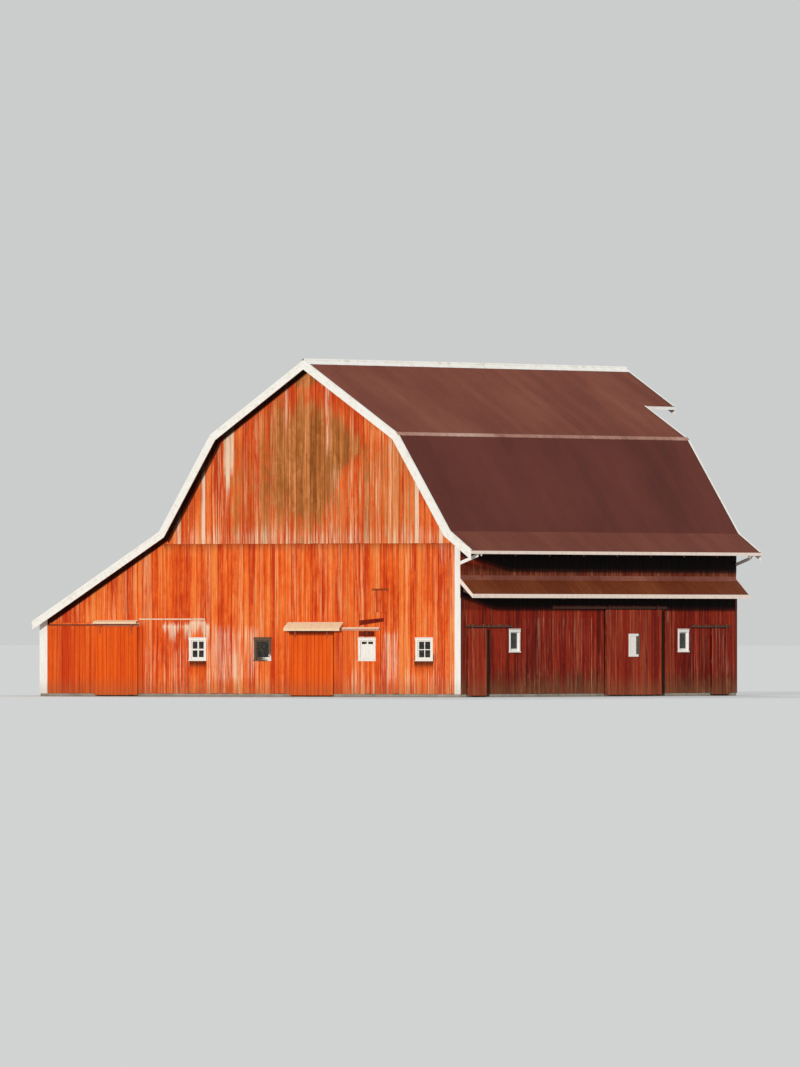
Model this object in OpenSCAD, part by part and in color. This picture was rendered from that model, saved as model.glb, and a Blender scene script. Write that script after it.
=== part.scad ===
// Gambrel barn with a lean-to on its left side and a narrow pent roof along its right side.
// Millimetres. X runs across the gables, to the right seen from the front, Y runs along the ridge
// to the back and Z is up. The origin is the centre of the base of the bounding box.
// Inside the modules, x = 0 is the ridge line, y = 0 the outer face of the front wall.

/* [Walls] */
// Width of the main barn over its wall boards
main_w = 12420; // [12000:10:13000]
// Width of the lean-to beside it
lean_w = 5160; // [4900:10:5500]
// Length of the building over its end walls
barn_l = 18390; // [18200:10:19400]
// Thickness of the walls, boards and girts together
wall_t = 130; // [100:5:160]
// Height of the concrete strip under the walls
base_h = 100; // [60:5:160]
// Height of the concrete left under each doorway
sill_h = 20; // [10:5:50]
// Height at which the upper gable boards lap over the lower ones
lap_z = 5360; // [5250:10:5450]
// How far the upper gable boards stand proud of the lower ones
lap_proud = 25; // [15:5:40]

/* [Roof] */
// Height of the roof's top at the right eave
eave_z = 5100; // [5000:10:5200]
// Reach of the right eave past the wall
eave_over = 730; // [600:10:800]
// Rise of the flared foot of the right slope
flare_rise = 680; // [600:10:760]
// Distance of the roof's knees inside the wall faces
knee_inset = 180; // [120:10:240]
// Rise of the steep lower slopes
lower_rise = 3400; // [3200:10:3600]
// Distance of the roof's breaks inside the wall faces
break_inset = 2330; // [2210:10:2410]
// Rise of the upper slopes
upper_rise = 2580; // [2400:10:2800]
// Reach of the lean-to eave past its wall
lean_over = 30; // [30:5:80]
// Fall of the lean-to roof from the knee to its eave
lean_drop = 3140; // [3000:10:3200]
// Thickness of the roof boards with their metal
deck_t = 45; // [35:5:60]
// Reach of the roof past the front wall
front_over = 450; // [350:10:550]
// Reach of the roof past the rear wall
rear_over = 490; // [400:10:600]
// Reach of the hay hood past the rear edge of the roof
hood_out = 1990; // [1700:10:2200]
// Distance of the hay hood's side edges from the ridge
hood_run = 2090; // [1900:10:2300]
// Width of each side of the ridge cap
cap_w = 200; // [150:10:260]
// Thickness of the ridge cap and of the flashings
sheet_t = 6; // [4:1:10]
// Width of each side of the flashing at the breaks
flash_w = 90; // [60:5:130]

/* [Roof frame] */
// Depth of the purlins
purlin_t = 90; // [70:5:120]
// Width of the purlins
purlin_w = 120; // [90:5:160]
// Depth of the principal rafters
rafter_t = 180; // [150:5:220]
// Width of the principal rafters and of the tie beams
rafter_w = 140; // [110:5:180]
// Side of the square posts
post_w = 200; // [160:5:220]
// Distance of the inner rows of posts from the ridge line
inner_row = 3700; // [3500:10:3800]
// Height of the underside of the tie beams
tie_z = 4700; // [4400:10:4800]
// Depth of the tie beams
tie_h = 200; // [160:5:260]
// Depth of the plates that run from post to post
plate_h = 300; // [240:10:360]
// Number of cross frames along the building
frames = 5; // [5:1:5]
// Depth of the beam under the hay hood
hood_beam_h = 260; // [200:10:320]

/* [Trim boards] */
// Thickness of the rake boards and fascias
rake_t = 30; // [20:1:40]
// Width of the rake boards
rake_w = 250; // [200:10:300]
// Width of the eave fascias
fascia_w = 110; // [90:5:150]
// Thickness of the corner boards
corner_t = 25; // [18:1:28]
// Width of the corner boards at the lean-to corners
corner_left_w = 300; // [220:10:340]
// Width of the corner boards at the right corners, on the end walls
corner_right_w = 220; // [180:10:260]
// Width of the corner boards on the side walls
corner_side_w = 140; // [110:10:180]
// Width of the board that closes the end of the right eave
return_w = 120; // [90:5:160]
// Height of that board's lower edge at the wall
return_z = 4620; // [4550:10:4680]
// Rise of that board from the wall to the eave
return_rise = 270; // [200:10:290]
// Depth of the lookouts under the right eave
lookout_t = 100; // [80:5:120]
// Joint left between boards that meet in one node
trim_gap = 0.5; // [0.3:0.1:0.8]
// Gap left where sloping pieces lie on each other
seat_gap = 0.3; // [0.2:0.1:0.5]

/* [Pent roof] */
// Height of the pent roof's top at the wall
pent_z = 4150; // [4080:10:4250]
// Reach of the pent roof
pent_out = 520; // [450:10:600]
// Fall of the pent roof
pent_drop = 550; // [500:10:580]
// Upright thickness of the pent roof
pent_t = 60; // [45:5:80]
// Width of the pent fascia
pent_fascia_w = 140; // [110:5:160]
// Width of the pent rake boards, measured upright
pent_rake_w = 190; // [150:10:220]
// Thickness of the pent brackets
bracket_t = 60; // [40:5:90]
// Depth of the pent brackets under the roof at their tips
bracket_tip = 40; // [30:5:60]
// Height of the pent brackets on the wall
bracket_h = 420; // [340:10:480]

/* [Windows] */
// Width of a window over its casing
win_w = 720; // [680:10:760]
// Height of a window over its casing
win_h = 810; // [760:10:860]
// Width of the casing that covers the wall around the opening
casing_lap = 50; // [40:5:60]
// Width of the frame inside the opening
sash_w = 40; // [30:5:50]
// How far the casing stands proud of the wall
casing_t = 20; // [12:1:22]
// Depth of the window frame inside the wall
frame_depth = 90; // [70:5:95]
// Thickness of the glass
glass_t = 6; // [4:1:8]
// Depth of the glass behind the wall face
glass_in = 50; // [40:5:60]
// Height of the sills on the end walls and on the lean-to wall
sill_end = 1250; // [1150:10:1350]
// Height of the sills on the right wall
sill_side = 1550; // [1450:10:1600]
// Distance of the outer windows of the end walls from the ridge line
win_outer = 4720; // [4600:10:4900]
// Distance of the inner right windows of the end walls from the ridge line
win_inner = 2350; // [2300:10:2450]
// Distance of their inner left windows from the ridge line
win_inner_left = 2000; // [1950:10:2100]
// Place of the front window on the right wall, from the front
win_side_front = 3530; // [3500:10:3650]
// Distance of the rear window on the right wall from the fourth cross frame
win_side_rear = 1100; // [1050:10:1150]
// Number of windows in the lean-to wall, one in each bay
win_left = 4; // [4:1:4]
// Distance of the window in the rear lean-to wall from the main barn
win_lean_rear = 2580; // [2300:10:2800]

/* [Sliding doors] */
// Thickness of a door leaf
leaf_t = 45; // [38:1:55]
// Air between the wall face and a leaf
door_gap = 30; // [28:1:40]
// Height of a leaf's lower edge over the ground
leaf_foot = 50; // [30:5:80]
// How far a closed leaf laps over the doorway's sides and top
leaf_lap = 40; // [30:5:50]
// Distance from the top of a leaf to its rail
rail_lift = 40; // [30:5:60]
// Height of the rail
rail_h = 50; // [40:5:60]
// Thickness of the rail
rail_t = 30; // [26:1:36]
// Height of the board behind the rail
header_h = 120; // [100:5:150]
// Length of rail past the leaf at the ends of its travel
rail_end = 50; // [30:5:80]
// Radius of the hanger wheels
wheel_r = 35; // [28:1:40]
// Thickness of the hanger wheels
wheel_t = 18; // [14:1:18]
// Running gap between wheel and rail
wheel_gap = 0.3; // [0.2:0.1:0.5]
// Radius of the hanger axles
axle_r = 8; // [6:1:10]
// Width of the hanger straps
strap_w = 50; // [40:5:60]
// Thickness of the hanger straps
strap_t = 8; // [6:1:10]
// Length of strap on the face of the leaf
strap_hold = 260; // [200:10:320]
// Distance of the straps from the leaf's edges
strap_in = 250; // [200:10:300]

/* [Front door] */
// Width of the front door and of the lean-to door
front_leaf_w = 1830; // [1750:10:1900]
// Height of the front leaf's top
front_top = 2300; // [2250:10:2320]
// Place of the front door's centre from the ridge line
front_centre = 70; // [-50:10:120]
// Travel of the front door and of the lean-to door
front_travel = 1860; // [1850:10:1880]
// Height of the lean-to leaf's top
lean_top = 2460; // [2400:10:2480]
// Distance of the lean-to door's right edge from the main barn
lean_door_in = 1010; // [950:10:1060]
// Reach of the hood over the front door
hood_reach = 300; // [240:10:340]
// Fall of that hood
hood_fall = 200; // [180:10:220]
// Height of that hood's top above the leaf
hood_lift = 320; // [300:10:340]
// Height of that hood's front board
hood_front = 110; // [90:5:140]
// Length of that hood past the leaf on the left
hood_left = 100; // [50:10:200]
// Length of that hood past the leaf on the right
hood_right = 400; // [300:10:450]
// Thickness of the hood boards
hood_t = 22; // [18:1:24]
// Reach of the hood over the lean-to door
lean_hood_reach = 150; // [140:5:200]
// Fall of that hood
lean_hood_fall = 60; // [40:5:70]
// Height of that hood's top above the leaf
lean_hood_lift = 240; // [235:5:260]
// Height of that hood's front board
lean_hood_front = 80; // [60:5:100]
// Length of the ledge that runs on from the lean-to door to the right
ledge_l = 2770; // [2600:10:2900]
// Height of that ledge's foot above the leaf
ledge_lift = 240; // [230:5:260]
// Height of that ledge
ledge_h = 50; // [40:5:70]
// Reach of that ledge
ledge_out = 40; // [30:5:50]

/* [Side doors] */
// Width of the two small side doors
side_leaf_w = 1240; // [1200:10:1300]
// Height of the small side leaves' tops
side_top = 2400; // [2300:10:2450]
// Place of the front side doorway from the front
side_front_at = 760; // [700:10:800]
// How far the front side door stands open
side_front_open = 330; // [250:10:360]
// Distance of the rear side doorway's start from the rear
side_rear_end = 1730; // [1700:10:1760]
// Travel of the rear side door
side_rear_travel = 1280; // [1260:10:1300]
// Width of the big side door
big_leaf_w = 3760; // [3650:10:3770]
// Height of the big leaf's top
big_top = 3060; // [2950:10:3080]
// Distance of the big side doorway's start from the middle cross frame
big_in = 675; // [620:5:680]
// How far the big side door stands open
big_open = 370; // [300:10:390]
// Travel of the big side door from closed to open
big_travel = 3810; // [3800:10:3850]
// Width of the jamb board beside the big doorway
jamb_w = 120; // [90:5:150]
// Gap between the closed big leaf and the jamb board
jamb_gap = 50; // [30:5:60]
// Height of the sill of the big door's window
big_sill = 1400; // [1350:10:1450]

/* [Hay door] */
// Width of the hay door
hay_w = 1600; // [1400:10:1800]
// Height of the hay door
hay_h = 2000; // [1800:10:2200]
// Height of the hay door's lower edge
hay_z = 6800; // [6700:10:7000]
// Thickness of the hay door
hay_t = 40; // [30:5:50]
// How far the hay door laps over its opening
hay_lap = 60; // [40:5:80]

/* [Hidden] */

// Wall faces
x_right = main_w / 2;
x_main_left = -main_w / 2;
x_left = x_main_left - lean_w;
far = 2 * (main_w + lean_w + barn_l);

// Roof profile: right eave, knee, break, ridge, break, knee, lean-to eave
knee_z = eave_z + flare_rise;
break_z = knee_z + lower_rise;
ridge_z = break_z + upper_rise;
knee_x = x_right - knee_inset;
upper_run = x_right - break_inset;
profile = [
    [x_right + eave_over, eave_z], [knee_x, knee_z], [upper_run, break_z], [0, ridge_z],
    [-upper_run, break_z], [-knee_x, knee_z], [x_left - lean_over, knee_z - lean_drop]
];
last = len(profile) - 1;

// Direction of profile segment i, and its normal towards the inside
function seg_dir(i) = (profile[i + 1] - profile[i]) / norm(profile[i + 1] - profile[i]);
function seg_in(i) = [-seg_dir(i).y, seg_dir(i).x];
// Corner i of the profile, moved in by t and mitred; the two eaves are cut plumb
function corner(i, t) =
    i == 0 ? profile[0] - [0, t / abs(seg_in(0).y)]
    : i == last ? profile[last] - [0, t / abs(seg_in(last - 1).y)]
    : profile[i] + t * (seg_in(i - 1) + seg_in(i)) / (1 + seg_in(i - 1) * seg_in(i));
// Height over x of the profile moved in by t
function roof_z(x, t) = lookup(x, [for (i = [last:-1:0]) corner(i, t)]);

purlin_in = deck_t + seat_gap;
rafter_in = purlin_in + purlin_t + seat_gap;
frame_in = rafter_in + rafter_t;
post_in = frame_in + seat_gap;
rear_edge = barn_l + rear_over;
hood_edge = rear_edge + hood_out;
front_edge = -front_over;

// Cross frames
function frame_y(i) = wall_t + post_w / 2 + i * (barn_l - 2 * wall_t - post_w) / (frames - 1);
rows = [
    x_right - wall_t - post_w / 2, inner_row, -inner_row, x_main_left + post_w / 2,
    x_left + wall_t + post_w / 2
];
half_bays = 2 * (frames - 1);

// Pent roof
pent_tip_x = x_right + pent_out;
pent_tip_z = pent_z - pent_drop;
pent_low = pent_tip_z - pent_fascia_w;

// Doorways and leaves, each along its own wall
front_leaf = front_centre - front_leaf_w / 2;
lean_leaf = x_main_left - lean_door_in - front_leaf_w;
big_at = frame_y(2) + big_in;
side_rear_at = barn_l - side_rear_end;
side_front_leaf = side_front_at - leaf_lap;
side_rear_leaf = side_rear_at - leaf_lap;
big_leaf = big_at - leaf_lap;
side_front_travel = side_leaf_w + leaf_lap;

// Openings in the window walls
hole_w = win_w - 2 * casing_lap;
hole_h = win_h - 2 * casing_lap;
light_w = hole_w - 2 * sash_w;
light_h = hole_h - 2 * sash_w;
end_windows = [-win_outer, -win_inner_left, win_inner, win_outer];
side_windows = [win_side_front, frame_y(3) + win_side_rear];
left_windows = [for (i = [0:win_left - 1]) (frame_y(i) + frame_y(i + 1)) / 2];
lean_rear_window = x_main_left - win_lean_rear;

// Bounding box, for the origin
cap_over = 10;
x_max = x_right + eave_over + rake_t;
x_min = x_left - lean_over - rake_t;
y_min = front_edge - rake_t - cap_over;
y_max = hood_edge + rake_t + cap_over;

module place() {
    translate([-(x_min + x_max) / 2, -(y_min + y_max) / 2, 0]) children();
}

// Each wall's own frame: x along the wall, y out of its face, z up
module on_front() { mirror([0, 1, 0]) children(); }
module on_rear() { translate([0, barn_l, 0]) children(); }
module on_right() { translate([x_right, 0, 0]) mirror([1, -1, 0]) children(); }
module on_left() { translate([x_left, 0, 0]) rotate([0, 0, 90]) children(); }

// A box from one corner to the other
module span(a, b) { translate(a) cube(b - a); }

// An outline in X and Z, extruded from y0 to y1
module along_y(y0, y1) {
    translate([0, y1, 0]) rotate([90, 0, 0]) linear_extrude(y1 - y0) children();
}

// An outline in out and up, extruded along a wall from u0 to u1
module along_wall(u0, u1) {
    translate([u0, 0, 0]) rotate([90, 0, 90]) linear_extrude(u1 - u0) children();
}

// Upright slice of an outline between two X
module between_x(x0, x1) {
    intersection() {
        children();
        translate([x0, -ridge_z]) square([x1 - x0, 3 * ridge_z]);
    }
}

// Everything under the roof surface moved in by t, from height z0
module under_roof(t, z0) {
    intersection() {
        polygon(concat([for (i = [0:last]) corner(i, t)], [[x_min, -1], [x_max, -1]]));
        translate([-far, z0]) square([2 * far, far]);
    }
}

// Band of profile segment i between depths t0 and t1, shortened by a joint at each end
module band(i, t0, t1, joint = 0) {
    d = seg_dir(i) * joint / 2;
    polygon([corner(i, t0) + d, corner(i + 1, t0) - d, corner(i + 1, t1) - d, corner(i, t1) + d]);
}

module roof_slab(i, y0 = front_edge, y1 = rear_edge) {
    along_y(y0, y1) band(i, 0, deck_t);
}

// Opening for a window in a wall's own frame
module window_hole(u, sill) {
    span([u - hole_w / 2, -2 * wall_t, sill + casing_lap],
         [u + hole_w / 2, 2 * wall_t, sill + casing_lap + hole_h]);
}

module window_frame(u, sill) {
    inset = casing_lap + sash_w;
    difference() {
        union() {
            span([u - win_w / 2, 0, sill], [u + win_w / 2, casing_t, sill + win_h]);
            span([u - hole_w / 2, -frame_depth, sill + casing_lap],
                 [u + hole_w / 2, casing_t, sill + casing_lap + hole_h]);
        }
        span([u - light_w / 2, -2 * wall_t, sill + inset],
             [u + light_w / 2, 2 * wall_t, sill + inset + light_h]);
    }
}

module window_pane(u, sill) {
    z = sill + casing_lap + sash_w;
    span([u - light_w / 2, -glass_in - glass_t, z], [u + light_w / 2, -glass_in, z + light_h]);
}

// Doorway behind a closed leaf
module doorway(leaf, w, top) {
    span([leaf + leaf_lap, -2 * wall_t, sill_h], [leaf + w - leaf_lap, 2 * wall_t, top - leaf_lap]);
}

// Leaf on two wheeled hangers, its left edge at u
module sliding_leaf(u, w, top) {
    face = door_gap + leaf_t;
    axle_z = top + rail_lift + rail_h + wheel_gap + wheel_r;
    span([u, door_gap, leaf_foot], [u + w, face, top]);
    for (at = [u + strap_in, u + w - strap_in]) {
        span([at - strap_w / 2, face, top - strap_hold],
             [at + strap_w / 2, face + strap_t, axle_z + wheel_r]);
        translate([at, door_gap + (rail_t - wheel_t) / 2, axle_z]) rotate([-90, 0, 0]) {
            cylinder(r = wheel_r, h = wheel_t, $fn = 48);
            cylinder(r = axle_r, h = leaf_t + (wheel_t - rail_t) / 2 + strap_t, $fn = 32);
        }
    }
}

// Rail from u0 to u1 over a leaf, and the board that carries it
module rail(u0, u1, top) {
    z = top + rail_lift;
    span([u0, door_gap, z], [u1, door_gap + rail_t, z + rail_h]);
}

module header(u0, u1, top) {
    z = top + rail_lift - (header_h - rail_h) / 4;
    span([u0, 0, z], [u1, door_gap, z + header_h]);
}

// Sloping hood on a wall from u0 to u1, its top at height z, with its front board
module door_hood(u0, u1, z, reach, fall, front) {
    tip = z - fall;
    along_wall(u0, u1) polygon([
        [0, z], [reach, tip], [reach, tip - front], [reach - hood_t, tip - front],
        [reach - hood_t, tip - hood_t], [0, z - hood_t]
    ]);
}

// Hood over a middle door whose leaf starts at u
module middle_hood(u) {
    door_hood(u - hood_left, u + front_leaf_w + hood_right, front_top + hood_lift,
              hood_reach, hood_fall, hood_front);
}

// Doorways of the front wall, from left to right: start and end
front_doorways = [
    [lean_leaf + leaf_lap, lean_leaf + front_leaf_w - leaf_lap],
    [front_leaf + leaf_lap, front_leaf + front_leaf_w - leaf_lap]
];

// Doorways of the right wall, from front to back: start, end and top
right_doorways = [
    [side_front_at, side_front_leaf + side_leaf_w - leaf_lap, side_top - leaf_lap],
    [big_at, big_leaf + big_leaf_w - leaf_lap, big_top - leaf_lap],
    [side_rear_at, side_rear_leaf + side_leaf_w - leaf_lap, side_top - leaf_lap]
];

// Starts and ends of the stretches of a wall between its doorways
function starts(first, doorways) = concat([first], [for (d = doorways) d[1]]);
function ends(doorways, end) = concat([for (d = doorways) d[0]], [end]);

module foundation() {
    side_start = wall_t + trim_gap;
    side_end = barn_l - wall_t - trim_gap;
    front_starts = starts(x_left, front_doorways);
    front_ends = ends(front_doorways, x_right);
    right_starts = starts(side_start, right_doorways);
    right_ends = ends(right_doorways, side_end);
    color("silver") {
        for (i = [0:len(front_starts) - 1])
            span([front_starts[i], 0, 0], [front_ends[i], wall_t, base_h]);
        for (i = [0:len(right_starts) - 1])
            span([x_right - wall_t, right_starts[i], 0], [x_right, right_ends[i], base_h]);
        span([x_left, side_start, 0], [x_left + wall_t, side_end, base_h]);
        span([x_left, barn_l - wall_t, 0], [x_right, barn_l, base_h]);
    }
}

module door_sills() {
    color("silver") {
        for (d = front_doorways) span([d[0], 0, 0], [d[1], wall_t, sill_h]);
        for (d = right_doorways) span([x_right - wall_t, d[0], 0], [x_right, d[1], sill_h]);
    }
}

// Boarded end wall between x0 and x1, z0 and z1, in the plane of the front
module end_wall(x0, x1, z0, z1, proud = 0) {
    along_y(-proud, wall_t) intersection() {
        under_roof(deck_t, z0);
        translate([x0, z0]) square([x1 - x0, z1 - z0]);
    }
}

module front_wall() {
    color("firebrick") difference() {
        union() {
            end_wall(x_main_left, front_doorways[1][0], base_h, lap_z);
            end_wall(front_doorways[1][1], x_right, base_h, lap_z);
        }
        on_front() for (u = end_windows) window_hole(u, sill_end);
    }
}

module front_wall_over_door() {
    color("firebrick")
        end_wall(front_doorways[1][0], front_doorways[1][1], front_top - leaf_lap, lap_z);
}

module front_gable() {
    color("chocolate") end_wall(x_main_left, x_right, lap_z, ridge_z, lap_proud);
}

module lean_to_front_wall() {
    color("firebrick") {
        end_wall(x_left, front_doorways[0][0], base_h, ridge_z);
        end_wall(front_doorways[0][1], x_main_left, base_h, ridge_z);
    }
}

module lean_to_wall_over_door() {
    color("firebrick")
        end_wall(front_doorways[0][0], front_doorways[0][1], lean_top - leaf_lap, ridge_z);
}

// Stretch of the right wall from y0 to y1, from height z0 to the roof
module right_stretch(y0, y1, z0) {
    along_y(y0, y1) between_x(x_right - wall_t, x_right) under_roof(deck_t, z0);
}

module right_wall() {
    stretch_starts = starts(wall_t, right_doorways);
    stretch_ends = ends(right_doorways, barn_l - wall_t);
    color("firebrick") difference() {
        for (i = [0:len(stretch_starts) - 1])
            right_stretch(stretch_starts[i], stretch_ends[i], base_h);
        on_right() for (u = side_windows) window_hole(u, sill_side);
    }
}

module right_wall_over_doors() {
    color("firebrick") for (d = right_doorways) right_stretch(d[0], d[1], d[2]);
}

module left_wall() {
    color("firebrick") difference() {
        along_y(wall_t, barn_l - wall_t) between_x(x_left, x_left + wall_t)
            under_roof(deck_t, base_h);
        on_left() for (u = left_windows) window_hole(u, sill_end);
    }
}

// Mirrors the front end wall's plane to the rear
module at_rear() { translate([0, barn_l, 0]) mirror([0, 1, 0]) children(); }

module rear_wall() {
    color("firebrick") difference() {
        at_rear() end_wall(x_main_left, x_right, base_h, lap_z);
        on_rear() for (u = end_windows) window_hole(u, sill_end);
        on_rear() doorway(-front_leaf_w / 2, front_leaf_w, front_top);
    }
}

module rear_gable() {
    color("chocolate") difference() {
        at_rear() end_wall(x_main_left, x_right, lap_z, ridge_z, lap_proud);
        on_rear() span([hay_lap - hay_w / 2, -2 * wall_t, hay_z + hay_lap],
                       [hay_w / 2 - hay_lap, 2 * wall_t, hay_z + hay_h - hay_lap]);
    }
}

module lean_to_rear_wall() {
    color("firebrick") difference() {
        at_rear() end_wall(x_left, x_main_left, base_h, ridge_z);
        on_rear() window_hole(lean_rear_window, sill_end);
    }
}

module posts() {
    color("tan") for (i = [0:frames - 1], x = rows)
        along_y(frame_y(i) - post_w / 2, frame_y(i) + post_w / 2)
            between_x(x - post_w / 2, x + post_w / 2) under_roof(post_in, 0);
}

module frame_beams() {
    color("tan") {
        // Tie beams across the main barn
        for (i = [0:frames - 1], r = [0:2])
            span([rows[r + 1] + post_w / 2, frame_y(i) - rafter_w / 2, tie_z],
                 [rows[r] - post_w / 2, frame_y(i) + rafter_w / 2, tie_z + tie_h]);
        // Plates from post to post
        for (i = [0:frames - 2], x = rows)
            along_y(frame_y(i) + post_w / 2, frame_y(i + 1) - post_w / 2)
                between_x(x - post_w / 2, x + post_w / 2)
                    under_roof(post_in, roof_z(x, post_in) - plate_h);
    }
}

module rafters() {
    color("tan") for (i = [0:frames - 1], s = [1:last - 1])
        along_y(frame_y(i) - rafter_w / 2, frame_y(i) + rafter_w / 2)
            between_x(x_left + wall_t, x_right - wall_t)
                band(s, rafter_in, frame_in, trim_gap);
}

// Purlins on each slope, evenly spaced along it
purlin_counts = [0, 2, 3, 3, 2, 4];

module purlins() {
    color("tan") for (s = [1:last - 1], k = [0:purlin_counts[s] - 1]) {
        middle = profile[s] + (profile[s + 1] - profile[s]) * (k + 0.5) / purlin_counts[s];
        half = seg_dir(s) * purlin_w / 2;
        top = middle + seg_in(s) * purlin_in;
        low = top + seg_in(s) * purlin_t;
        along_y(wall_t, barn_l - wall_t) polygon([top - half, top + half, low + half, low - half]);
    }
}

module upper_roof_right() { color("saddlebrown") roof_slab(2); }

module upper_roof_left() { color("saddlebrown") roof_slab(3); }

module lower_roof_right() { color("saddlebrown") roof_slab(1); }

module lower_roof_left() { color("saddlebrown") roof_slab(4); }

module eave_roof_right() { color("saddlebrown") roof_slab(0); }

module lean_to_roof() { color("saddlebrown") roof_slab(5); }

// The part of a rear band that lies inside or outside the hay hood
module hood_part(s) {
    x0 = s == 2 ? 0 : -hood_run;
    between_x(x0, x0 + hood_run) children();
}

module hay_hood_roof() {
    color("saddlebrown") for (s = [2, 3])
        along_y(rear_edge, hood_edge) hood_part(s) band(s, 0, deck_t, trim_gap);
}

module hay_hood_beam() {
    color("tan") along_y(barn_l + lap_proud, hood_edge)
        between_x(-rafter_w / 2, rafter_w / 2) under_roof(purlin_in, ridge_z - hood_beam_h);
}

module pent_roof() {
    color("saddlebrown") along_y(0, barn_l) polygon([
        [x_right, pent_z], [pent_tip_x, pent_tip_z], [pent_tip_x, pent_tip_z - pent_t],
        [x_right, pent_z - pent_t]
    ]);
}

module pent_brackets() {
    under = pent_tip_z - pent_t;
    color("tan") for (k = [0:half_bays]) {
        y = frame_y(k / 2);
        along_y(y - bracket_t / 2, y + bracket_t / 2) polygon([
            [x_right, pent_z - pent_t], [pent_tip_x, under], [pent_tip_x, under - bracket_tip],
            [x_right, pent_z - pent_t - bracket_h]
        ]);
    }
}

module pent_trim() {
    color("white") {
        span([pent_tip_x, -rake_t, pent_low], [pent_tip_x + rake_t, barn_l + rake_t, pent_tip_z]);
        for (y = [-rake_t, barn_l]) along_y(y, y + rake_t) polygon([
            [x_right + trim_gap, pent_z], [pent_tip_x - trim_gap, pent_tip_z],
            [pent_tip_x - trim_gap, pent_tip_z - pent_fascia_w],
            [x_right + trim_gap, pent_z - pent_rake_w]
        ]);
    }
}

module ridge_cap() {
    color("white") along_y(y_min, y_max) union() {
        between_x(0, cap_w) band(2, -seat_gap - sheet_t, -seat_gap);
        between_x(-cap_w, 0) band(3, -seat_gap - sheet_t, -seat_gap);
    }
}

module roof_flashings() {
    color("sienna") {
        for (s = [2, 4]) along_y(front_edge, rear_edge) {
            side = s == 2 ? 1 : -1;
            x0 = min(side * (upper_run - flash_w), side * (upper_run + flash_w));
            between_x(x0, x0 + 2 * flash_w) union() {
                band(s - 1, -seat_gap - sheet_t, -seat_gap);
                band(s, -seat_gap - sheet_t, -seat_gap);
            }
        }
        span([x_right, 0, pent_z], [x_right + sheet_t, barn_l, pent_z + flash_w]);
    }
}

module front_rake_boards() {
    color("white") along_y(front_edge - rake_t, front_edge)
        for (s = [0:last - 1]) band(s, 0, rake_w, trim_gap);
}

module rear_rake_boards() {
    color("white") {
        along_y(rear_edge, rear_edge + rake_t) {
            for (s = [0, 1, 4, 5]) band(s, 0, rake_w, trim_gap);
            for (side = [0, 1]) mirror([side, 0])
                between_x(hood_run + trim_gap, upper_run) band(2, 0, rake_w, trim_gap);
        }
        along_y(hood_edge, hood_edge + rake_t)
            for (s = [2, 3]) hood_part(s) band(s, 0, rake_w, trim_gap);
        // Boards along the hood's side edges
        for (side = [0, 1]) mirror([side, 0, 0])
            span([hood_run, rear_edge + rake_t + trim_gap, roof_z(hood_run, 0) - fascia_w],
                 [hood_run + rake_t, hood_edge, roof_z(hood_run, 0)]);
    }
}

module eave_fascias() {
    color("white") {
        y0 = front_edge - rake_t;
        y1 = rear_edge + rake_t;
        span([profile[0].x, y0, eave_z - fascia_w], [profile[0].x + rake_t, y1, eave_z]);
        span([profile[last].x - rake_t, y0, profile[last].y - fascia_w],
             [profile[last].x, y1, profile[last].y]);
    }
}

module eave_brackets() {
    color("white") {
        for (y = [0, barn_l - rake_t]) along_y(y, y + rake_t) polygon([
            [x_right, return_z], [profile[0].x, return_z + return_rise],
            [profile[0].x, return_z + return_rise + return_w], [x_right, return_z + return_w]
        ]);
        // Lookouts under the eave, between its two end boards
        for (k = [0:half_bays])
            along_y(frame_y(k / 2) - bracket_t / 2, frame_y(k / 2) + bracket_t / 2)
                between_x(x_right, profile[0].x) band(0, purlin_in, purlin_in + lookout_t);
    }
}

module corner_boards() {
    color("white") {
        // On the end walls
        for (rear = [0, 1]) translate([0, rear * barn_l, 0]) mirror([0, rear, 0]) {
            span([x_right - corner_right_w, -corner_t, base_h], [x_right, 0, lap_z]);
            along_y(-corner_t, 0) between_x(x_left, x_left + corner_left_w)
                under_roof(deck_t, base_h);
        }
        // On the side walls, under the pent roof and over it
        for (y = [-corner_t, barn_l + corner_t - corner_side_w]) {
            span([x_right + trim_gap, y, base_h],
                 [x_right + corner_t, y + corner_side_w, pent_low]);
            along_y(y, y + corner_side_w) between_x(x_left - corner_t, x_left - trim_gap)
                under_roof(deck_t, base_h);
        }
    }
}

module window_frames() {
    color("white") {
        on_front() for (u = end_windows) window_frame(u, sill_end);
        on_rear() for (u = end_windows) window_frame(u, sill_end);
        on_rear() window_frame(lean_rear_window, sill_end);
        on_right() for (u = side_windows) window_frame(u, sill_side);
        on_left() for (u = left_windows) window_frame(u, sill_end);
    }
}

module window_glass() {
    color("lightblue") {
        on_front() for (u = end_windows) window_pane(u, sill_end);
        on_rear() for (u = end_windows) window_pane(u, sill_end);
        on_rear() window_pane(lean_rear_window, sill_end);
        on_right() for (u = side_windows) window_pane(u, sill_side);
        on_left() for (u = left_windows) window_pane(u, sill_end);
    }
}

module hay_door() {
    color("firebrick") on_rear()
        span([-hay_w / 2, lap_proud, hay_z], [hay_w / 2, lap_proud + hay_t, hay_z + hay_h]);
}

module rear_door() {
    color("firebrick") on_rear() sliding_leaf(-front_leaf_w / 2, front_leaf_w, front_top);
}

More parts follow.
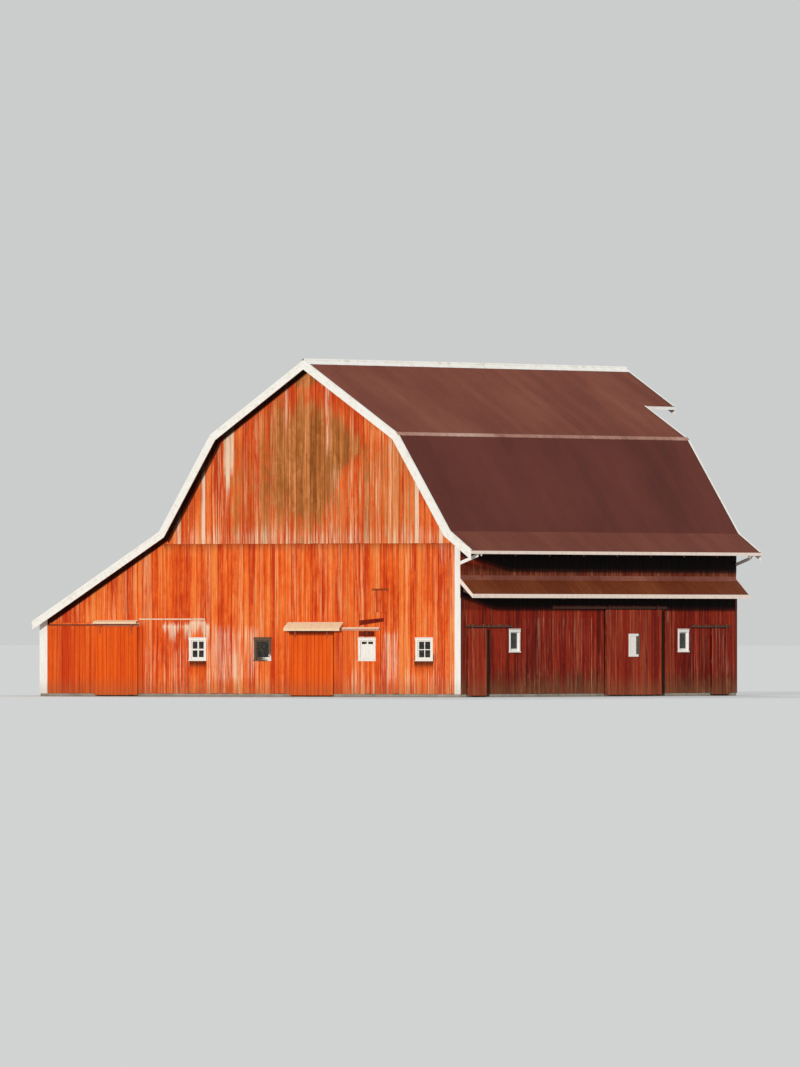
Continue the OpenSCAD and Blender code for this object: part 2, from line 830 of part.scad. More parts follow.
// Start and end of each rail along its wall
front_rail = [front_leaf - rail_end, front_leaf + front_leaf_w + front_travel + rail_end];
lean_rail = [lean_leaf - front_travel - rail_end, lean_leaf + front_leaf_w + rail_end];
rear_rail = [-front_leaf_w / 2 - rail_end, front_leaf_w / 2 + front_travel + rail_end];
side_front_rail = [
    side_front_leaf - side_front_open - rail_end,
    side_front_leaf + side_leaf_w + side_front_travel + rail_end
];
big_rail = [big_leaf - big_travel - rail_end, big_leaf + big_leaf_w + rail_end];
side_rear_rail = [
    side_rear_leaf - side_rear_travel - rail_end, side_rear_leaf + side_leaf_w + rail_end
];

module door_frames() {
    color("rosybrown") {
        on_front() header(front_rail[0], front_rail[1], front_top);
        on_front() header(lean_rail[0], lean_rail[1], lean_top);
        on_rear() header(rear_rail[0], rear_rail[1], front_top);
        on_right() header(side_front_rail[0], side_front_rail[1], side_top);
        on_right() header(big_rail[0], big_rail[1], big_top);
        on_right() header(side_rear_rail[0], side_rear_rail[1], side_top);
        // Ledge to the right of the lean-to door
        on_front() span([lean_rail[1], 0, lean_top + ledge_lift],
                        [lean_rail[1] + ledge_l, ledge_out, lean_top + ledge_lift + ledge_h]);
        // Board beside the big doorway
        on_right() span([big_leaf + big_leaf_w + jamb_gap, 0, base_h],
                        [big_leaf + big_leaf_w + jamb_gap + jamb_w, casing_t, big_top - leaf_lap]);
    }
}

module door_rails() {
    color("dimgray") {
        on_front() rail(front_rail[0], front_rail[1], front_top);
        on_front() rail(lean_rail[0], lean_rail[1], lean_top);
        on_rear() rail(rear_rail[0], rear_rail[1], front_top);
        on_right() rail(side_front_rail[0], side_front_rail[1], side_top);
        on_right() rail(big_rail[0], big_rail[1], big_top);
        on_right() rail(side_rear_rail[0], side_rear_rail[1], side_top);
    }
}

module door_hoods() {
    color("lightgray") {
        on_front() middle_hood(front_leaf);
        on_front() door_hood(lean_leaf, lean_leaf + front_leaf_w, lean_top + lean_hood_lift,
                             lean_hood_reach, lean_hood_fall, lean_hood_front);
        on_rear() middle_hood(-front_leaf_w / 2);
    }
}

module front_door() {
    color("orangered") on_front() sliding_leaf(front_leaf, front_leaf_w, front_top);
}

module lean_to_door() {
    color("orangered") on_front() sliding_leaf(lean_leaf, front_leaf_w, lean_top);
}

module side_front_door() {
    color("maroon") on_right()
        sliding_leaf(side_front_leaf - side_front_open, side_leaf_w, side_top);
}

// The big leaf stands open by big_open at rest
big_rest = big_leaf - big_open;
big_window_at = big_rest + big_leaf_w / 2;

module big_side_door() {
    color("maroon") on_right() difference() {
        sliding_leaf(big_rest, big_leaf_w, big_top);
        span([big_window_at - hole_w / 2, 0, big_sill + casing_lap],
             [big_window_at + hole_w / 2, 2 * wall_t, big_sill + casing_lap + hole_h]);
    }
}

// Boarded-over window in the big leaf
module big_door_window() {
    face = door_gap + leaf_t;
    color("white") on_right() union() {
        span([big_window_at - hole_w / 2, face - leaf_t, big_sill + casing_lap],
             [big_window_at + hole_w / 2, face, big_sill + casing_lap + hole_h]);
        span([big_window_at - win_w / 2, face, big_sill],
             [big_window_at + win_w / 2, face + casing_t, big_sill + win_h]);
    }
}

module side_rear_door() {
    color("maroon") on_right() sliding_leaf(side_rear_leaf, side_leaf_w, side_top);
}

place() foundation();
place() door_sills();
place() front_wall();
place() front_wall_over_door();
place() front_gable();
place() lean_to_front_wall();
place() lean_to_wall_over_door();
place() right_wall();
place() right_wall_over_doors();
place() left_wall();
place() rear_wall();
place() rear_gable();
place() lean_to_rear_wall();
place() posts();
place() frame_beams();
place() rafters();
place() purlins();
place() upper_roof_right();
place() upper_roof_left();
place() lower_roof_right();
place() lower_roof_left();
place() eave_roof_right();
place() lean_to_roof();
place() hay_hood_roof();
place() hay_hood_beam();
place() pent_roof();
place() pent_brackets();
place() pent_trim();
place() ridge_cap();
place() roof_flashings();
place() front_rake_boards();
place() rear_rake_boards();
place() eave_fascias();
place() eave_brackets();
place() corner_boards();
place() window_frames();
place() window_glass();
place() hay_door();
place() rear_door();
place() door_frames();
place() door_rails();
place() door_hoods();
place() front_door();
place() lean_to_door();
place() side_front_door();
place() big_side_door();
place() big_door_window();
place() side_rear_door();
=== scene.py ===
"""Looks of the red barn: boarded walls and doors, sheet metal roof, trim, windows and fittings."""
import math
import random

import bmesh
import bpy
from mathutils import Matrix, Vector


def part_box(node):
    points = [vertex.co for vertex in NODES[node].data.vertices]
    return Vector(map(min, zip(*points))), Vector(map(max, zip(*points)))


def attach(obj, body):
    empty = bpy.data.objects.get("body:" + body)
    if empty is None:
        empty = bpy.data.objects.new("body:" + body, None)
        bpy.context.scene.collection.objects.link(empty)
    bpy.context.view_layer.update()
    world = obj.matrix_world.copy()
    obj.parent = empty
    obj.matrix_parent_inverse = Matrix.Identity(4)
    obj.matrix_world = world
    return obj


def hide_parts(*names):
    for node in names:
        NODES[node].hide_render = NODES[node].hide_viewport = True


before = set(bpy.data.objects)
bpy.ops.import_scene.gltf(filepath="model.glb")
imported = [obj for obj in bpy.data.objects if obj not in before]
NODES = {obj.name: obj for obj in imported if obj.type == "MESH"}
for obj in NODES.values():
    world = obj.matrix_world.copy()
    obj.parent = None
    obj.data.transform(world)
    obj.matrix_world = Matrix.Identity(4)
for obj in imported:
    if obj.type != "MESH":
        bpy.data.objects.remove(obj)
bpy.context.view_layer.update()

# Places of the walls in the row frame
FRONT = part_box("front_wall")[0].y
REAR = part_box("rear_wall")[1].y
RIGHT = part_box("right_wall")[1].x
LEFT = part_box("left_wall")[0].x
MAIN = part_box("front_wall")[0].x
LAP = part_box("front_gable")[0].z
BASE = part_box("front_wall")[0].z
RIDGE = (MAIN + RIGHT) / 2

# Thickness of wall boards, roof boards, walls and sheet metal
BOARD = 0.025
DECK = 0.045
WALL = 0.13
SKIN = 0.0016
# A casing's face and a door leaf's two faces, measured out from the wall
CASING = 0.02
LEAF_IN, LEAF_OUT = 0.03, 0.075
# How far a leaf laps its doorway, and how far its hangers stand over its top
LEAF_LAP = 0.04
HANGER_RISE = 0.1603

EVEN_TONE = (0.5, 0.5, 0.5)
UNWORN = (0.0, 0.0, 0.0, 0.0)

SIDES = {
    "front": lambda u, out, z: (u, FRONT - out, z),
    "rear": lambda u, out, z: (u, REAR + out, z),
    "right": lambda u, out, z: (RIGHT + out, u, z),
    "left": lambda u, out, z: (LEFT - out, u, z),
}


def smooth(value, low, high):
    """0 at low, 1 at high, with soft ends."""
    t = min(max((value - low) / (high - low), 0.0), 1.0)
    return t * t * (3 - 2 * t)


def window_of(value, low, high, soft):
    """1 between low and high, fading to 0 over soft on both sides."""
    return smooth(value, low - soft, low) * (1 - smooth(value, high, high + soft))


def islands(node):
    """Boxes of a CAD node's separate solids, as (lowest, highest) corners."""
    mesh = NODES[node].data
    keys = {}
    index = [keys.setdefault(tuple(round(c, 4) for c in v.co), len(keys)) for v in mesh.vertices]
    parent = list(range(len(keys)))

    def root(i):
        while parent[i] != i:
            parent[i] = parent[parent[i]]
            i = parent[i]
        return i

    for polygon in mesh.polygons:
        for v in polygon.vertices[1:]:
            parent[root(index[v])] = root(index[polygon.vertices[0]])
    groups = {}
    for point, i in keys.items():
        groups.setdefault(root(i), []).append(point)
    return sorted((tuple(map(min, zip(*g))), tuple(map(max, zip(*g)))) for g in groups.values())


# Roof profile
def top_line(node):
    """The two ends, as (x, z), of the longest straight line that no point of a slab stands over."""
    points = sorted({(round(v.co.x, 3), round(v.co.z, 3)) for v in NODES[node].data.vertices})
    best, reach = None, 0.0
    for i, a in enumerate(points):
        for b in points[i + 1:]:
            run = b[0] - a[0]
            if run < 0.01:
                continue
            slope = (b[1] - a[1]) / run
            if run > reach and all(p[1] <= a[1] + slope * (p[0] - a[0]) + 0.004 for p in points):
                best, reach = (a, b), run
    return best


SLOPES = ("eave_roof_right", "lower_roof_right", "upper_roof_right", "upper_roof_left",
          "lower_roof_left", "lean_to_roof")
# Corners of the profile: right eave, knee, break, ridge, break, knee, left eave
PROFILE = [Vector(top_line(SLOPES[0])[1])] + [Vector(top_line(node)[0]) for node in SLOPES]
TOP = 3


def slope_ends(i):
    """The upper and lower ends of roof line i."""
    return (PROFILE[i + 1], PROFILE[i]) if i < TOP else (PROFILE[i], PROFILE[i + 1])


def inward(i):
    """The direction square to roof line i, into the roof."""
    d = (PROFILE[i + 1] - PROFILE[i]).normalized()
    return Vector((-d.y, d.x))


def corner(i, depth):
    """Corner i of the roof profile, moved in by depth and mitred."""
    if i in (0, len(PROFILE) - 1):
        n = inward(0 if i == 0 else i - 1)
        return PROFILE[i] - Vector((0, depth / abs(n.y)))
    a, b = inward(i - 1), inward(i)
    return PROFILE[i] + depth * (a + b) / (1 + a.dot(b))


def roof_z(x, depth):
    """Height of the roof's profile at x, depth below its top."""
    line = sorted(tuple(corner(i, depth)) for i in range(len(PROFILE)))
    for (x0, z0), (x1, z1) in zip(line, line[1:]):
        if x <= x1 or (x1, z1) == line[-1]:
            return z0 + (z1 - z0) * (x - x0) / (x1 - x0)


def under_roof(x):
    """Height of a wall's top at x, just under the roof boards."""
    return roof_z(x, DECK + 0.006)


class Piece:
    """Vertices, faces and per-board values of one piece."""

    def __init__(self, name):
        self.name = name
        self.rng = random.Random(name)
        self.verts, self.faces, self.slots = [], [], []
        self.tones, self.zones, self.edges = [], [], []

    def tone(self, z=None):
        """A board's own values, all three drawn even where the last is given."""
        x, y, drawn = self.rng.random(), self.rng.random(), self.rng.random() ** 2
        return x, y, drawn if z is None else z

    def rings(self, rings, tone, zone=None, slot=0, rims=None, back=None):
        """Joins rings of points, one after another, into one closed form. rims holds each
        ring point's nearness to the board's edge. back is the slot of each ring's last side."""
        base, n = len(self.verts), len(rings[0])
        last = base + n * (len(rings) - 1)
        for ring in rings:
            self.verts += ring
            self.tones += [tone] * n
            for point, rim in zip(ring, rims or [0.0] * n):
                # A zone's last value is painted shade, with a few dark marks
                *worn, damp = zone(*point) if zone else UNWORN
                self.zones.append(worn)
                self.edges.append((rim, damp, 0.0))
        for start in range(base, last, n):
            for i in range(n):
                a, b = start + i, start + (i + 1) % n
                self.faces.append((a, b, b + n, a + n))
                self.slots.append(slot if back is None or i < n - 1 else back)
        self.faces += [tuple(reversed(range(base, base + n))), tuple(range(last, last + n))]
        self.slots += [slot, slot]

    def board(self, at, u0, u1, low, high, out, thick, tone=None, zone=None, slot=0,
              step=0.45, ease=0.004, wild=1.0, back=None):
        """A board from low to high with its face at out, a little bowed, cupped and leaning.
        low and high are a height, or a pair of heights at u0 and u1."""
        low, high = (v if isinstance(v, tuple) else (v, v) for v in (low, high))
        draw = self.rng.gauss
        tone = tone or self.tone()
        count = max(2, math.ceil(max(high[0] - low[0], high[1] - low[1]) / step) + 1)
        bow, sway = draw(0, 0.0016) * wild, draw(0, 0.001) * wild
        cup, lean = draw(0, 0.0012) * wild, draw(0, 0.0012) * wild
        width = u1 - u0
        ease = min(ease, width / 5, thick / 3)
        outline = [(0, -thick), (0, -ease), (ease, 0), (width / 2, cup), (width - ease, 0),
                   (width, -ease), (width, -thick)]
        rings = []
        for k in range(count):
            f = k / (count - 1)
            wave = math.sin(math.pi * f)
            ring = []
            for du, do in outline:
                s = du / width
                a = low[0] + (low[1] - low[0]) * s
                b = high[0] + (high[1] - high[0]) * s
                ring.append(at(u0 + du + sway * wave, out + do + bow * wave + lean * (s - 0.5),
                               a + (b - a) * f))
            rings.append(ring)
        self.rings(rings, tone, zone, slot, (1, 1, 1, 0, 1, 1, 1), back)

    def box(self, at, u0, u1, z0, z1, o0, o1, zone=None, slot=0, ease=0.003):
        """A board-like block that runs along its longer side in u or z."""
        def lying(u, o, z):
            return at(z, o, u)

        run = (lying, z0, z1, u0, u1) if u1 - u0 > z1 - z0 else (at, u0, u1, z0, z1)
        self.board(*run, o1, o1 - o0, None, zone, slot, 0.6, ease, 0.6)

    def prism(self, at, section, places, zone=None, slot=0):
        """A straight bar: its section, as (out, z) pairs, repeated at places along the wall."""
        self.rings([[at(u, o, z) for o, z in section] for u in places], self.tone(), zone, slot)

    def turned(self, at, u, z, profile, sides=28, slot=0):
        """A turned form about an axis square to the wall. profile is (radius, out) pairs."""
        angles = [2 * math.pi * i / sides for i in range(sides)]
        rings = [[at(u + r * math.cos(t), o, z + r * math.sin(t)) for t in angles]
                 for r, o in profile]
        self.rings(rings, EVEN_TONE, None, slot)

    def bolt(self, at, u, z, out, radius=0.011, height=0.006, sides=6, slot=0):
        """A low domed head."""
        dome = [(radius, out - 0.002), (radius, out + height * 0.6), (radius * 0.55, out + height)]
        self.turned(at, u, z, dome, sides, slot)

    def nail(self, at, u, z, out, radius=0.006, height=0.0022):
        """A nail's head, in the piece's second material."""
        self.bolt(at, u, z, out, radius, height, 5, 1)

    def done(self, materials, body, slot, *nodes):
        """Makes the object, which rides on a body and stands in for the nodes."""
        mesh = bpy.data.meshes.new(self.name)
        mesh.from_pydata(self.verts, [], self.faces)
        for name, values in (("tone", self.tones), ("zone", self.zones), ("edge", self.edges)):
            layer = mesh.attributes.new(name, "FLOAT_VECTOR", "POINT")
            layer.data.foreach_set("vector", [c for v in values for c in v])
        for material in materials:
            mesh.materials.append(material)
        mesh.polygons.foreach_set("material_index", self.slots)
        work = bmesh.new()
        work.from_mesh(mesh)
        bmesh.ops.recalc_face_normals(work, faces=work.faces)
        work.to_mesh(mesh)
        work.free()
        obj = bpy.data.objects.new(self.name, mesh)
        bpy.context.scene.collection.objects.link(obj)
        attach(obj, body)
        if nodes:
            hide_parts(*nodes)


# Materials
def linear(colour):
    """Linear values of a colour given as red, green and blue from 0 to 255."""
    shares = [c / 255 for c in colour]
    return (*(c / 12.92 if c <= 0.04045 else ((c + 0.055) / 1.055) ** 2.4 for c in shares), 1.0)


def put(socket, value):
    """Links a node's output to a socket, or sets the socket to a plain value."""
    if isinstance(value, bpy.types.NodeSocket):
        socket.id_data.links.new(value, socket)
    else:
        socket.default_value = value


def add_node(tree, kind, *values, **settings):
    """A new node with its settings, and with its first inputs put to the values."""
    node = tree.nodes.new(kind)
    for name, value in settings.items():
        setattr(node, name, value)
    for socket, value in zip(node.inputs, values):
        put(socket, value)
    return node


class Shade:
    """A material in the making. Each method adds nodes and returns an output."""

    def __init__(self, name, roughness=0.8, metallic=0.0, specular=0.5):
        self.material = bpy.data.materials.new(name)
        self.material.use_nodes = True
        self.tree = self.material.node_tree
        self.bsdf = self.tree.nodes["Principled BSDF"]
        put(self.bsdf.inputs["Roughness"], roughness)
        put(self.bsdf.inputs["Metallic"], metallic)
        put(self.bsdf.inputs["Specular IOR Level"], specular)
        self.place = add_node(self.tree, "ShaderNodeTexCoord").outputs["Object"]
        self.tone, self.zone, self.edge = (self.attribute(n) for n in ("tone", "zone", "edge"))

    def attribute(self, name):
        """A value that each point of a piece carries."""
        return add_node(self.tree, "ShaderNodeAttribute", attribute_name=name).outputs["Vector"]

    def split(self, vector):
        """The three values of a vector."""
        return tuple(add_node(self.tree, "ShaderNodeSeparateXYZ", vector).outputs)

    def vector(self, kind, *values):
        """Arithmetic with vectors."""
        return add_node(self.tree, "ShaderNodeVectorMath", *values, operation=kind).outputs[0]

    def math(self, kind, *values):
        """Arithmetic with numbers."""
        return add_node(self.tree, "ShaderNodeMath", *values, operation=kind).outputs[0]

    def total(self, base, *parts):
        """base plus each value times its weight."""
        for value, weight in parts:
            base = self.math("MULTIPLY_ADD", value, weight, base)
        return base

    def times(self, product, *values):
        """All the values multiplied."""
        for value in values:
            product = self.math("MULTIPLY", product, value)
        return product

    def own(self, amount=(31.0, 17.0, 43.0)):
        """The place, moved by each board's own values, so that no two boards look alike."""
        return self.vector("MULTIPLY_ADD", self.tone, amount, self.place)

    def noise(self, where, scale, detail=4.0, rough=0.55, distortion=0.0):
        """Noise with its own scale along each axis, or one scale for all."""
        node = add_node(self.tree, "ShaderNodeTexNoise")
        scale = scale if isinstance(scale, tuple) else (scale,) * 3
        put(node.inputs["Vector"], self.vector("MULTIPLY", where, scale))
        for name, value in (("Scale", 1.0), ("Detail", detail), ("Roughness", rough),
                            ("Distortion", distortion)):
            put(node.inputs[name], value)
        return node.outputs[0]

    def range(self, value, low, high, to_low=0.0, to_high=1.0):
        """The value eased from to_low at low to to_high at high."""
        return add_node(self.tree, "ShaderNodeMapRange", value, low, high, to_low, to_high,
                        interpolation_type="SMOOTHSTEP").outputs[0]

    def ramp(self, value, *stops):
        """Colours from 0 to 255 at positions of the value."""
        node = add_node(self.tree, "ShaderNodeValToRGB", value)
        elements = node.color_ramp.elements
        while len(elements) < len(stops):
            elements.new(0.5)
        for element, (position, colour) in zip(elements, stops):
            element.position = position
            element.color = linear(colour)
        return node.outputs[0]

    def mix(self, factor, a, b, kind="MIX"):
        """Colour a turned into b by the factor. A tuple is a colour from 0 to 255."""
        node = add_node(self.tree, "ShaderNodeMix", factor, data_type="RGBA", blend_type=kind,
                        clamp_factor=True)
        for socket, value in zip(node.inputs[6:8], (a, b)):
            put(socket, linear(value) if isinstance(value, tuple) else value)
        return node.outputs[2]

    def scale(self, colour, *values):
        """The colour with its brightness multiplied by each of the values."""
        for value in values:
            node = add_node(self.tree, "ShaderNodeVectorMath", colour, operation="SCALE")
            put(node.inputs["Scale"], value)
            colour = node.outputs[0]
        return colour

    def soil(self, colour, fine, low, high, earth):
        """The colour with soil splashed on it near the ground."""
        height = self.split(self.place)[2]
        splash = self.times(self.range(height, low, high, 1.0, 0.0),
                            self.range(fine, 0.3, 0.7, 0.3, 0.9), 0.5)
        return self.mix(splash, colour, earth)

    def finish(self, colour, roughness, height, distance, strength):
        """Connects the colour, the roughness if one is given, and the height as a bump."""
        bump = add_node(self.tree, "ShaderNodeBump", strength, distance)
        put(bump.inputs["Height"], height)
        put(self.bsdf.inputs["Base Color"], colour)
        put(self.bsdf.inputs["Normal"], bump.outputs[0])
        if roughness:
            put(self.bsdf.inputs["Roughness"], roughness)
        return self.material


class BoardPaint(Shade):
    """Old barn paint on vertical boards. Each method lays one more kind of wear, or painted shade, over
    a colour.
    """

    def __init__(self, name):
        super().__init__(name, specular=0.15)
        own = self.own()
        self.aged, self.silvered, self.bleached = self.split(self.tone)
        self.grey, self.new, self.white = self.split(self.zone)
        self.rim, self.damp, _ = self.split(self.edge)
        self.fine = self.noise(own, (95, 95, 1.6), 5, 0.6, 0.3)
        self.streak = self.noise(own, (8, 8, 0.24), 5, 0.6, 0.4)
        self.thread = self.noise(own, (26, 26, 0.55), 6, 0.66, 0.3)
        self.flake = self.noise(own, (30, 30, 3.4), 9, 0.72, 0.5)
        self.broad = self.noise(self.place, (0.5, 0.5, 0.25), 3, 0.5)
        self.mottle = self.noise(own, (3.2, 3.2, 2.2), 6, 0.62, 0.6)
        middle = self.math("SUBTRACT", self.noise(own, (42, 42, 0.5), 3, 0.5, 0.6), 0.5)
        self.check = self.range(self.math("ABSOLUTE", middle), 0.0, 0.012, 0.66, 1.0)

    def faded(self, deep, middle, light, pale, wear):
        """Sun-faded paint with bleached threads, most on boards whose third value is high."""
        age = self.total(-1.95, (self.aged, 0.5), (self.streak, 1.7), (self.thread, 1.0),
                         (self.broad, 0.9), (self.mottle, 0.8))
        paint = self.ramp(age, (0.12, deep), (0.5, middle), (0.95, light))
        need = self.total(0.64, (self.bleached, -0.14), (self.streak, -0.12))
        threads = self.times(self.range(self.thread, need, self.math("ADD", need, 0.13)),
                             self.range(self.broad, 0.3, 0.7, 0.45, 1.0),
                             self.range(self.new, 0.0, 1.0, wear, 0.12))
        return self.mix(threads, paint, pale)

    def repainted(self, colour, deep, fresh):
        """Newer, smoother paint where the zone has it."""
        new = self.mix(self.range(self.streak, 0.3, 0.7), deep, fresh)
        new = self.scale(new, self.range(self.thread, 0.3, 0.7, 0.93, 1.06))
        share = self.times(self.new, self.range(self.flake, 0.3, 0.7, 0.92, 0.7))
        return self.mix(share, colour, new)

    def greyed(self, colour, greys):
        """Greyed wood in long streaks where the paint is gone."""
        gone = self.total(-1.55, (self.grey, 0.95), (self.streak, 1.5), (self.aged, 0.26),
                          (self.thread, 0.35), (self.mottle, 1.15))
        gone = self.times(self.range(gone, 0.08, 0.66), self.range(self.grey, 0.02, 0.25), 0.92)
        wood = self.total(-1.6, (self.thread, 1.5), (self.streak, 1.3), (self.silvered, 0.5),
                          (self.mottle, 0.8))
        return self.mix(gone, colour, self.ramp(wood, *zip((0.1, 0.5, 0.9), greys)))

    def flakes(self):
        """Where paint has flaked down to bare wood."""
        need = self.total(0.7, (self.bleached, -0.05), (self.grey, -0.05))
        return self.times(self.range(self.flake, need, self.math("ADD", need, 0.035)),
                          self.range(self.new, 0.0, 1.0, 0.85, 0.1))

    def whitened(self, colour):
        """White paint that has run or stays in streaks."""
        runs = self.total(-1.32, (self.white, 0.8), (self.thread, 1.4), (self.streak, 0.6))
        runs = self.times(self.range(runs, 0.0, 0.36), self.range(self.white, 0.02, 0.9, 0.5, 0.95),
                          self.range(self.white, 0.01, 0.1))
        return self.mix(runs, colour, (250, 216, 184))

    def dirtied_and_shaded(self, colour, darkest):
        """Painted shade with a few marks, deepest painted shade, dirt along the boards' edges, grain,
        checks and soil.
        """
        # The edge's second value is painted shade, with a few dark marks; past 1.1 it deepens towards
        # darkest
        streaked_shade_and_marks = self.total(0.0, (self.damp, 1.0), (self.streak, 0.3))
        dirt = self.total(-0.25, (self.rim, 1.0), (self.thread, 0.5))
        colour = self.scale(colour, self.range(streaked_shade_and_marks, 0.2, 1.1, 1.0, 0.22),
                            self.range(self.damp, 1.1, 2.0, 1.0, darkest),
                            self.range(dirt, 0.72, 1.02, 1.0, 0.76),
                            self.times(self.range(self.fine, 0.25, 0.75, 0.86, 1.1), self.check))
        return self.soil(colour, self.thread, 0.1, 0.8, (132, 100, 66))


def painted_boards(name, paints, greys, fresh, wear, darkest=0.08):
    """Streaked, bleached and flaking barn paint. paints are its deep, middle, light and bleached
    colours, fresh is newer paint, wear is how strongly bleached threads show, and darkest is what
    the deepest painted shade leaves of the brightness."""
    s = BoardPaint(name)
    colour = s.greyed(s.repainted(s.faded(*paints, wear), paints[0], fresh), greys)
    flaked = s.flakes()
    colour = s.dirtied_and_shaded(s.whitened(s.mix(flaked, colour, greys[2])), darkest)
    height = s.total(0.0, (s.fine, 0.5), (s.check, 0.7), (flaked, -0.35))
    return s.finish(colour, s.range(s.flake, 0.3, 0.7, 0.72, 0.92), height, 0.003, 0.8)


def timber(name, dark, light, across=60.0, along=1.5, axis=2):
    """Bare sawn wood with its grain along one axis."""
    s = Shade(name, 0.85)
    own = s.own()
    stretch = tuple(along if i == axis else across for i in range(3))
    fine = s.noise(own, stretch, 6, 0.6, 0.4)
    broad = s.noise(own, tuple(c * 0.12 for c in stretch), 3, 0.5)
    colour = s.ramp(s.total(0.0, (fine, 0.6), (broad, 0.4)), (0.32, dark), (0.68, light))
    saw = s.noise(s.place, tuple(140.0 if i == axis else 4.0 for i in range(3)), 2, 0.5)
    return s.finish(colour, s.range(fine, 0.3, 0.7, 0.78, 0.93), s.total(fine, (saw, 0.4)), 0.002, 0.7)


def off_the_ends(s, colour, between):
    """The colour at the barn's two ends, and between away from them."""
    y = s.split(s.place)[1]
    ends = s.math("MAXIMUM", s.range(y, FRONT + 0.6, FRONT + 0.7, 1.0, 0.0),
                  s.range(y, REAR - 0.7, REAR - 0.6))
    return s.mix(ends, between, colour)


def on_the_flanks(s, colour, sides):
    """The colour on what faces the front or rear, and sides on what faces right or left."""
    x, y, _ = s.split(s.place)
    flank = s.math("MAXIMUM", s.range(x, RIGHT, RIGHT + 0.001),
                   s.range(x, LEFT - 0.001, LEFT, 1.0, 0.0))
    behind = s.times(s.range(y, FRONT - 0.022, FRONT - 0.018),
                     s.range(y, REAR + 0.018, REAR + 0.022, 1.0, 0.0))
    return s.mix(s.times(flank, behind), colour, sides)


def white_paint(name, stretch=(12, 12, 12), worn=0.5, between=None, tint=None, sides=None):
    """White trim paint, chalky, streaked and flaking. The zone's first value takes it off. tint
    multiplies the colour. between and sides are the colours away from the barn's ends and of what
    faces sideways."""
    s = Shade(name, 0.6, specular=0.3)
    own = s.own()
    streak = s.noise(own, stretch, 5, 0.6, 0.3)
    fine = s.noise(own, tuple(c * 6 for c in stretch), 5, 0.6)
    flake = s.noise(own, tuple(c * 2.2 for c in stretch), 9, 0.75, 0.4)
    colour = s.ramp(streak, (0.25, (222, 214, 198)), (0.45, (245, 241, 232)), (0.75, (252, 251, 247)))
    if between:
        colour = off_the_ends(s, colour, between)
    if tint:
        colour = s.mix(1.0, colour, tint, "MULTIPLY")
    if sides:
        colour = on_the_flanks(s, colour, sides)
    need = s.total(0.76 - 0.08 * worn, (s.split(s.zone)[0], -0.45))
    flaked = s.range(flake, need, s.math("ADD", need, 0.03))
    colour = s.mix(flaked, colour, s.ramp(fine, (0.3, (66, 52, 42)), (0.7, (122, 98, 78))))
    colour = s.soil(colour, fine, 0.05, 0.7, (150, 126, 94))
    colour = s.scale(colour, s.range(fine, 0.25, 0.75, 0.95, 1.02))
    height = s.total(0.0, (fine, 0.4), (flaked, -0.6))
    return s.finish(colour, s.range(flake, 0.3, 0.7, 0.5, 0.8), height, 0.0015, 0.8)


def sheet_metal(name, dark, middle, light):
    """Painted roof sheets: sun-faded bands down the slope, chalk, dust and rust specks."""
    s = Shade(name, 0.6, specular=0.15)
    own = s.own((3.0, 5.0, 3.0))
    run = s.noise(own, (3.0, 14.0, 3.0), 5, 0.6, 0.3)
    broad = s.noise(s.place, (0.25, 0.3, 0.25), 3, 0.55)
    fine = s.noise(s.place, 60, 4, 0.6)
    speck = s.noise(own, 24, 8, 0.78)
    age = s.total(-0.52, (s.split(s.tone)[0], 0.14), (run, 0.9), (broad, 1.0))
    colour = s.ramp(age, (0.15, dark), (0.5, middle), (0.95, light))
    colour = s.mix(s.times(s.range(speck, 0.66, 0.72), 0.5), colour, (112, 58, 36))
    colour = s.scale(colour, s.range(fine, 0.3, 0.7, 0.95, 1.05))
    height = s.total(0.0, (fine, 0.2), (broad, 3.0))
    return s.finish(colour, s.range(run, 0.3, 0.7, 0.5, 0.7), height, 0.002, 0.5)


def iron(name, clean, rust_share=0.5, paints=None):
    """Old ironwork, dull and rusted. paints are the colours of what hangs on the front: on the
    lean-to, and on the main barn."""
    s = Shade(name, 0.6, 0.0 if paints else 0.35)
    own = s.own()
    patch = s.noise(own, 18, 8, 0.72, 0.3)
    fine = s.noise(own, 110, 5, 0.6)
    rusted = s.range(patch, 0.62 - 0.22 * rust_share, 0.7 - 0.2 * rust_share)
    rust = s.ramp(fine, (0.3, (78, 40, 24)), (0.7, (138, 78, 44)))
    bare = s.ramp(fine, (0.3, tuple(0.86 * c for c in clean)), (0.7, clean))
    if paints:
        x, y, _ = s.split(s.place)
        on_front = s.range(y, FRONT, FRONT + 0.1, 1.0, 0.0)
        bare = s.mix(on_front, bare, s.mix(s.range(x, MAIN - 1.0, MAIN), *paints))
    colour = s.mix(rusted, bare, rust)
    return s.finish(colour, s.range(rusted, 0.0, 1.0, 0.5, 0.9), fine, 0.001, 0.8)


def concrete(name):
    """Cast concrete with blotches, fine pits and soil along its foot."""
    s = Shade(name, 0.9)
    blotch = s.noise(s.place, (2.2, 2.2, 5.0), 6, 0.62)
    pit = s.noise(s.place, 90, 5, 0.65)
    colour = s.ramp(blotch, (0.3, (134, 128, 116)), (0.55, (162, 157, 146)), (0.8, (182, 178, 168)))
    hole = s.range(pit, 0.62, 0.7)
    colour = s.mix(s.times(hole, 0.6), colour, (96, 92, 84))
    colour = s.mix(s.range(s.split(s.place)[2], 0.0, 0.09, 0.55, 0.1), colour, (112, 94, 70))
    return s.finish(colour, None, s.math("SUBTRACT", blotch, hole), 0.004, 0.7)


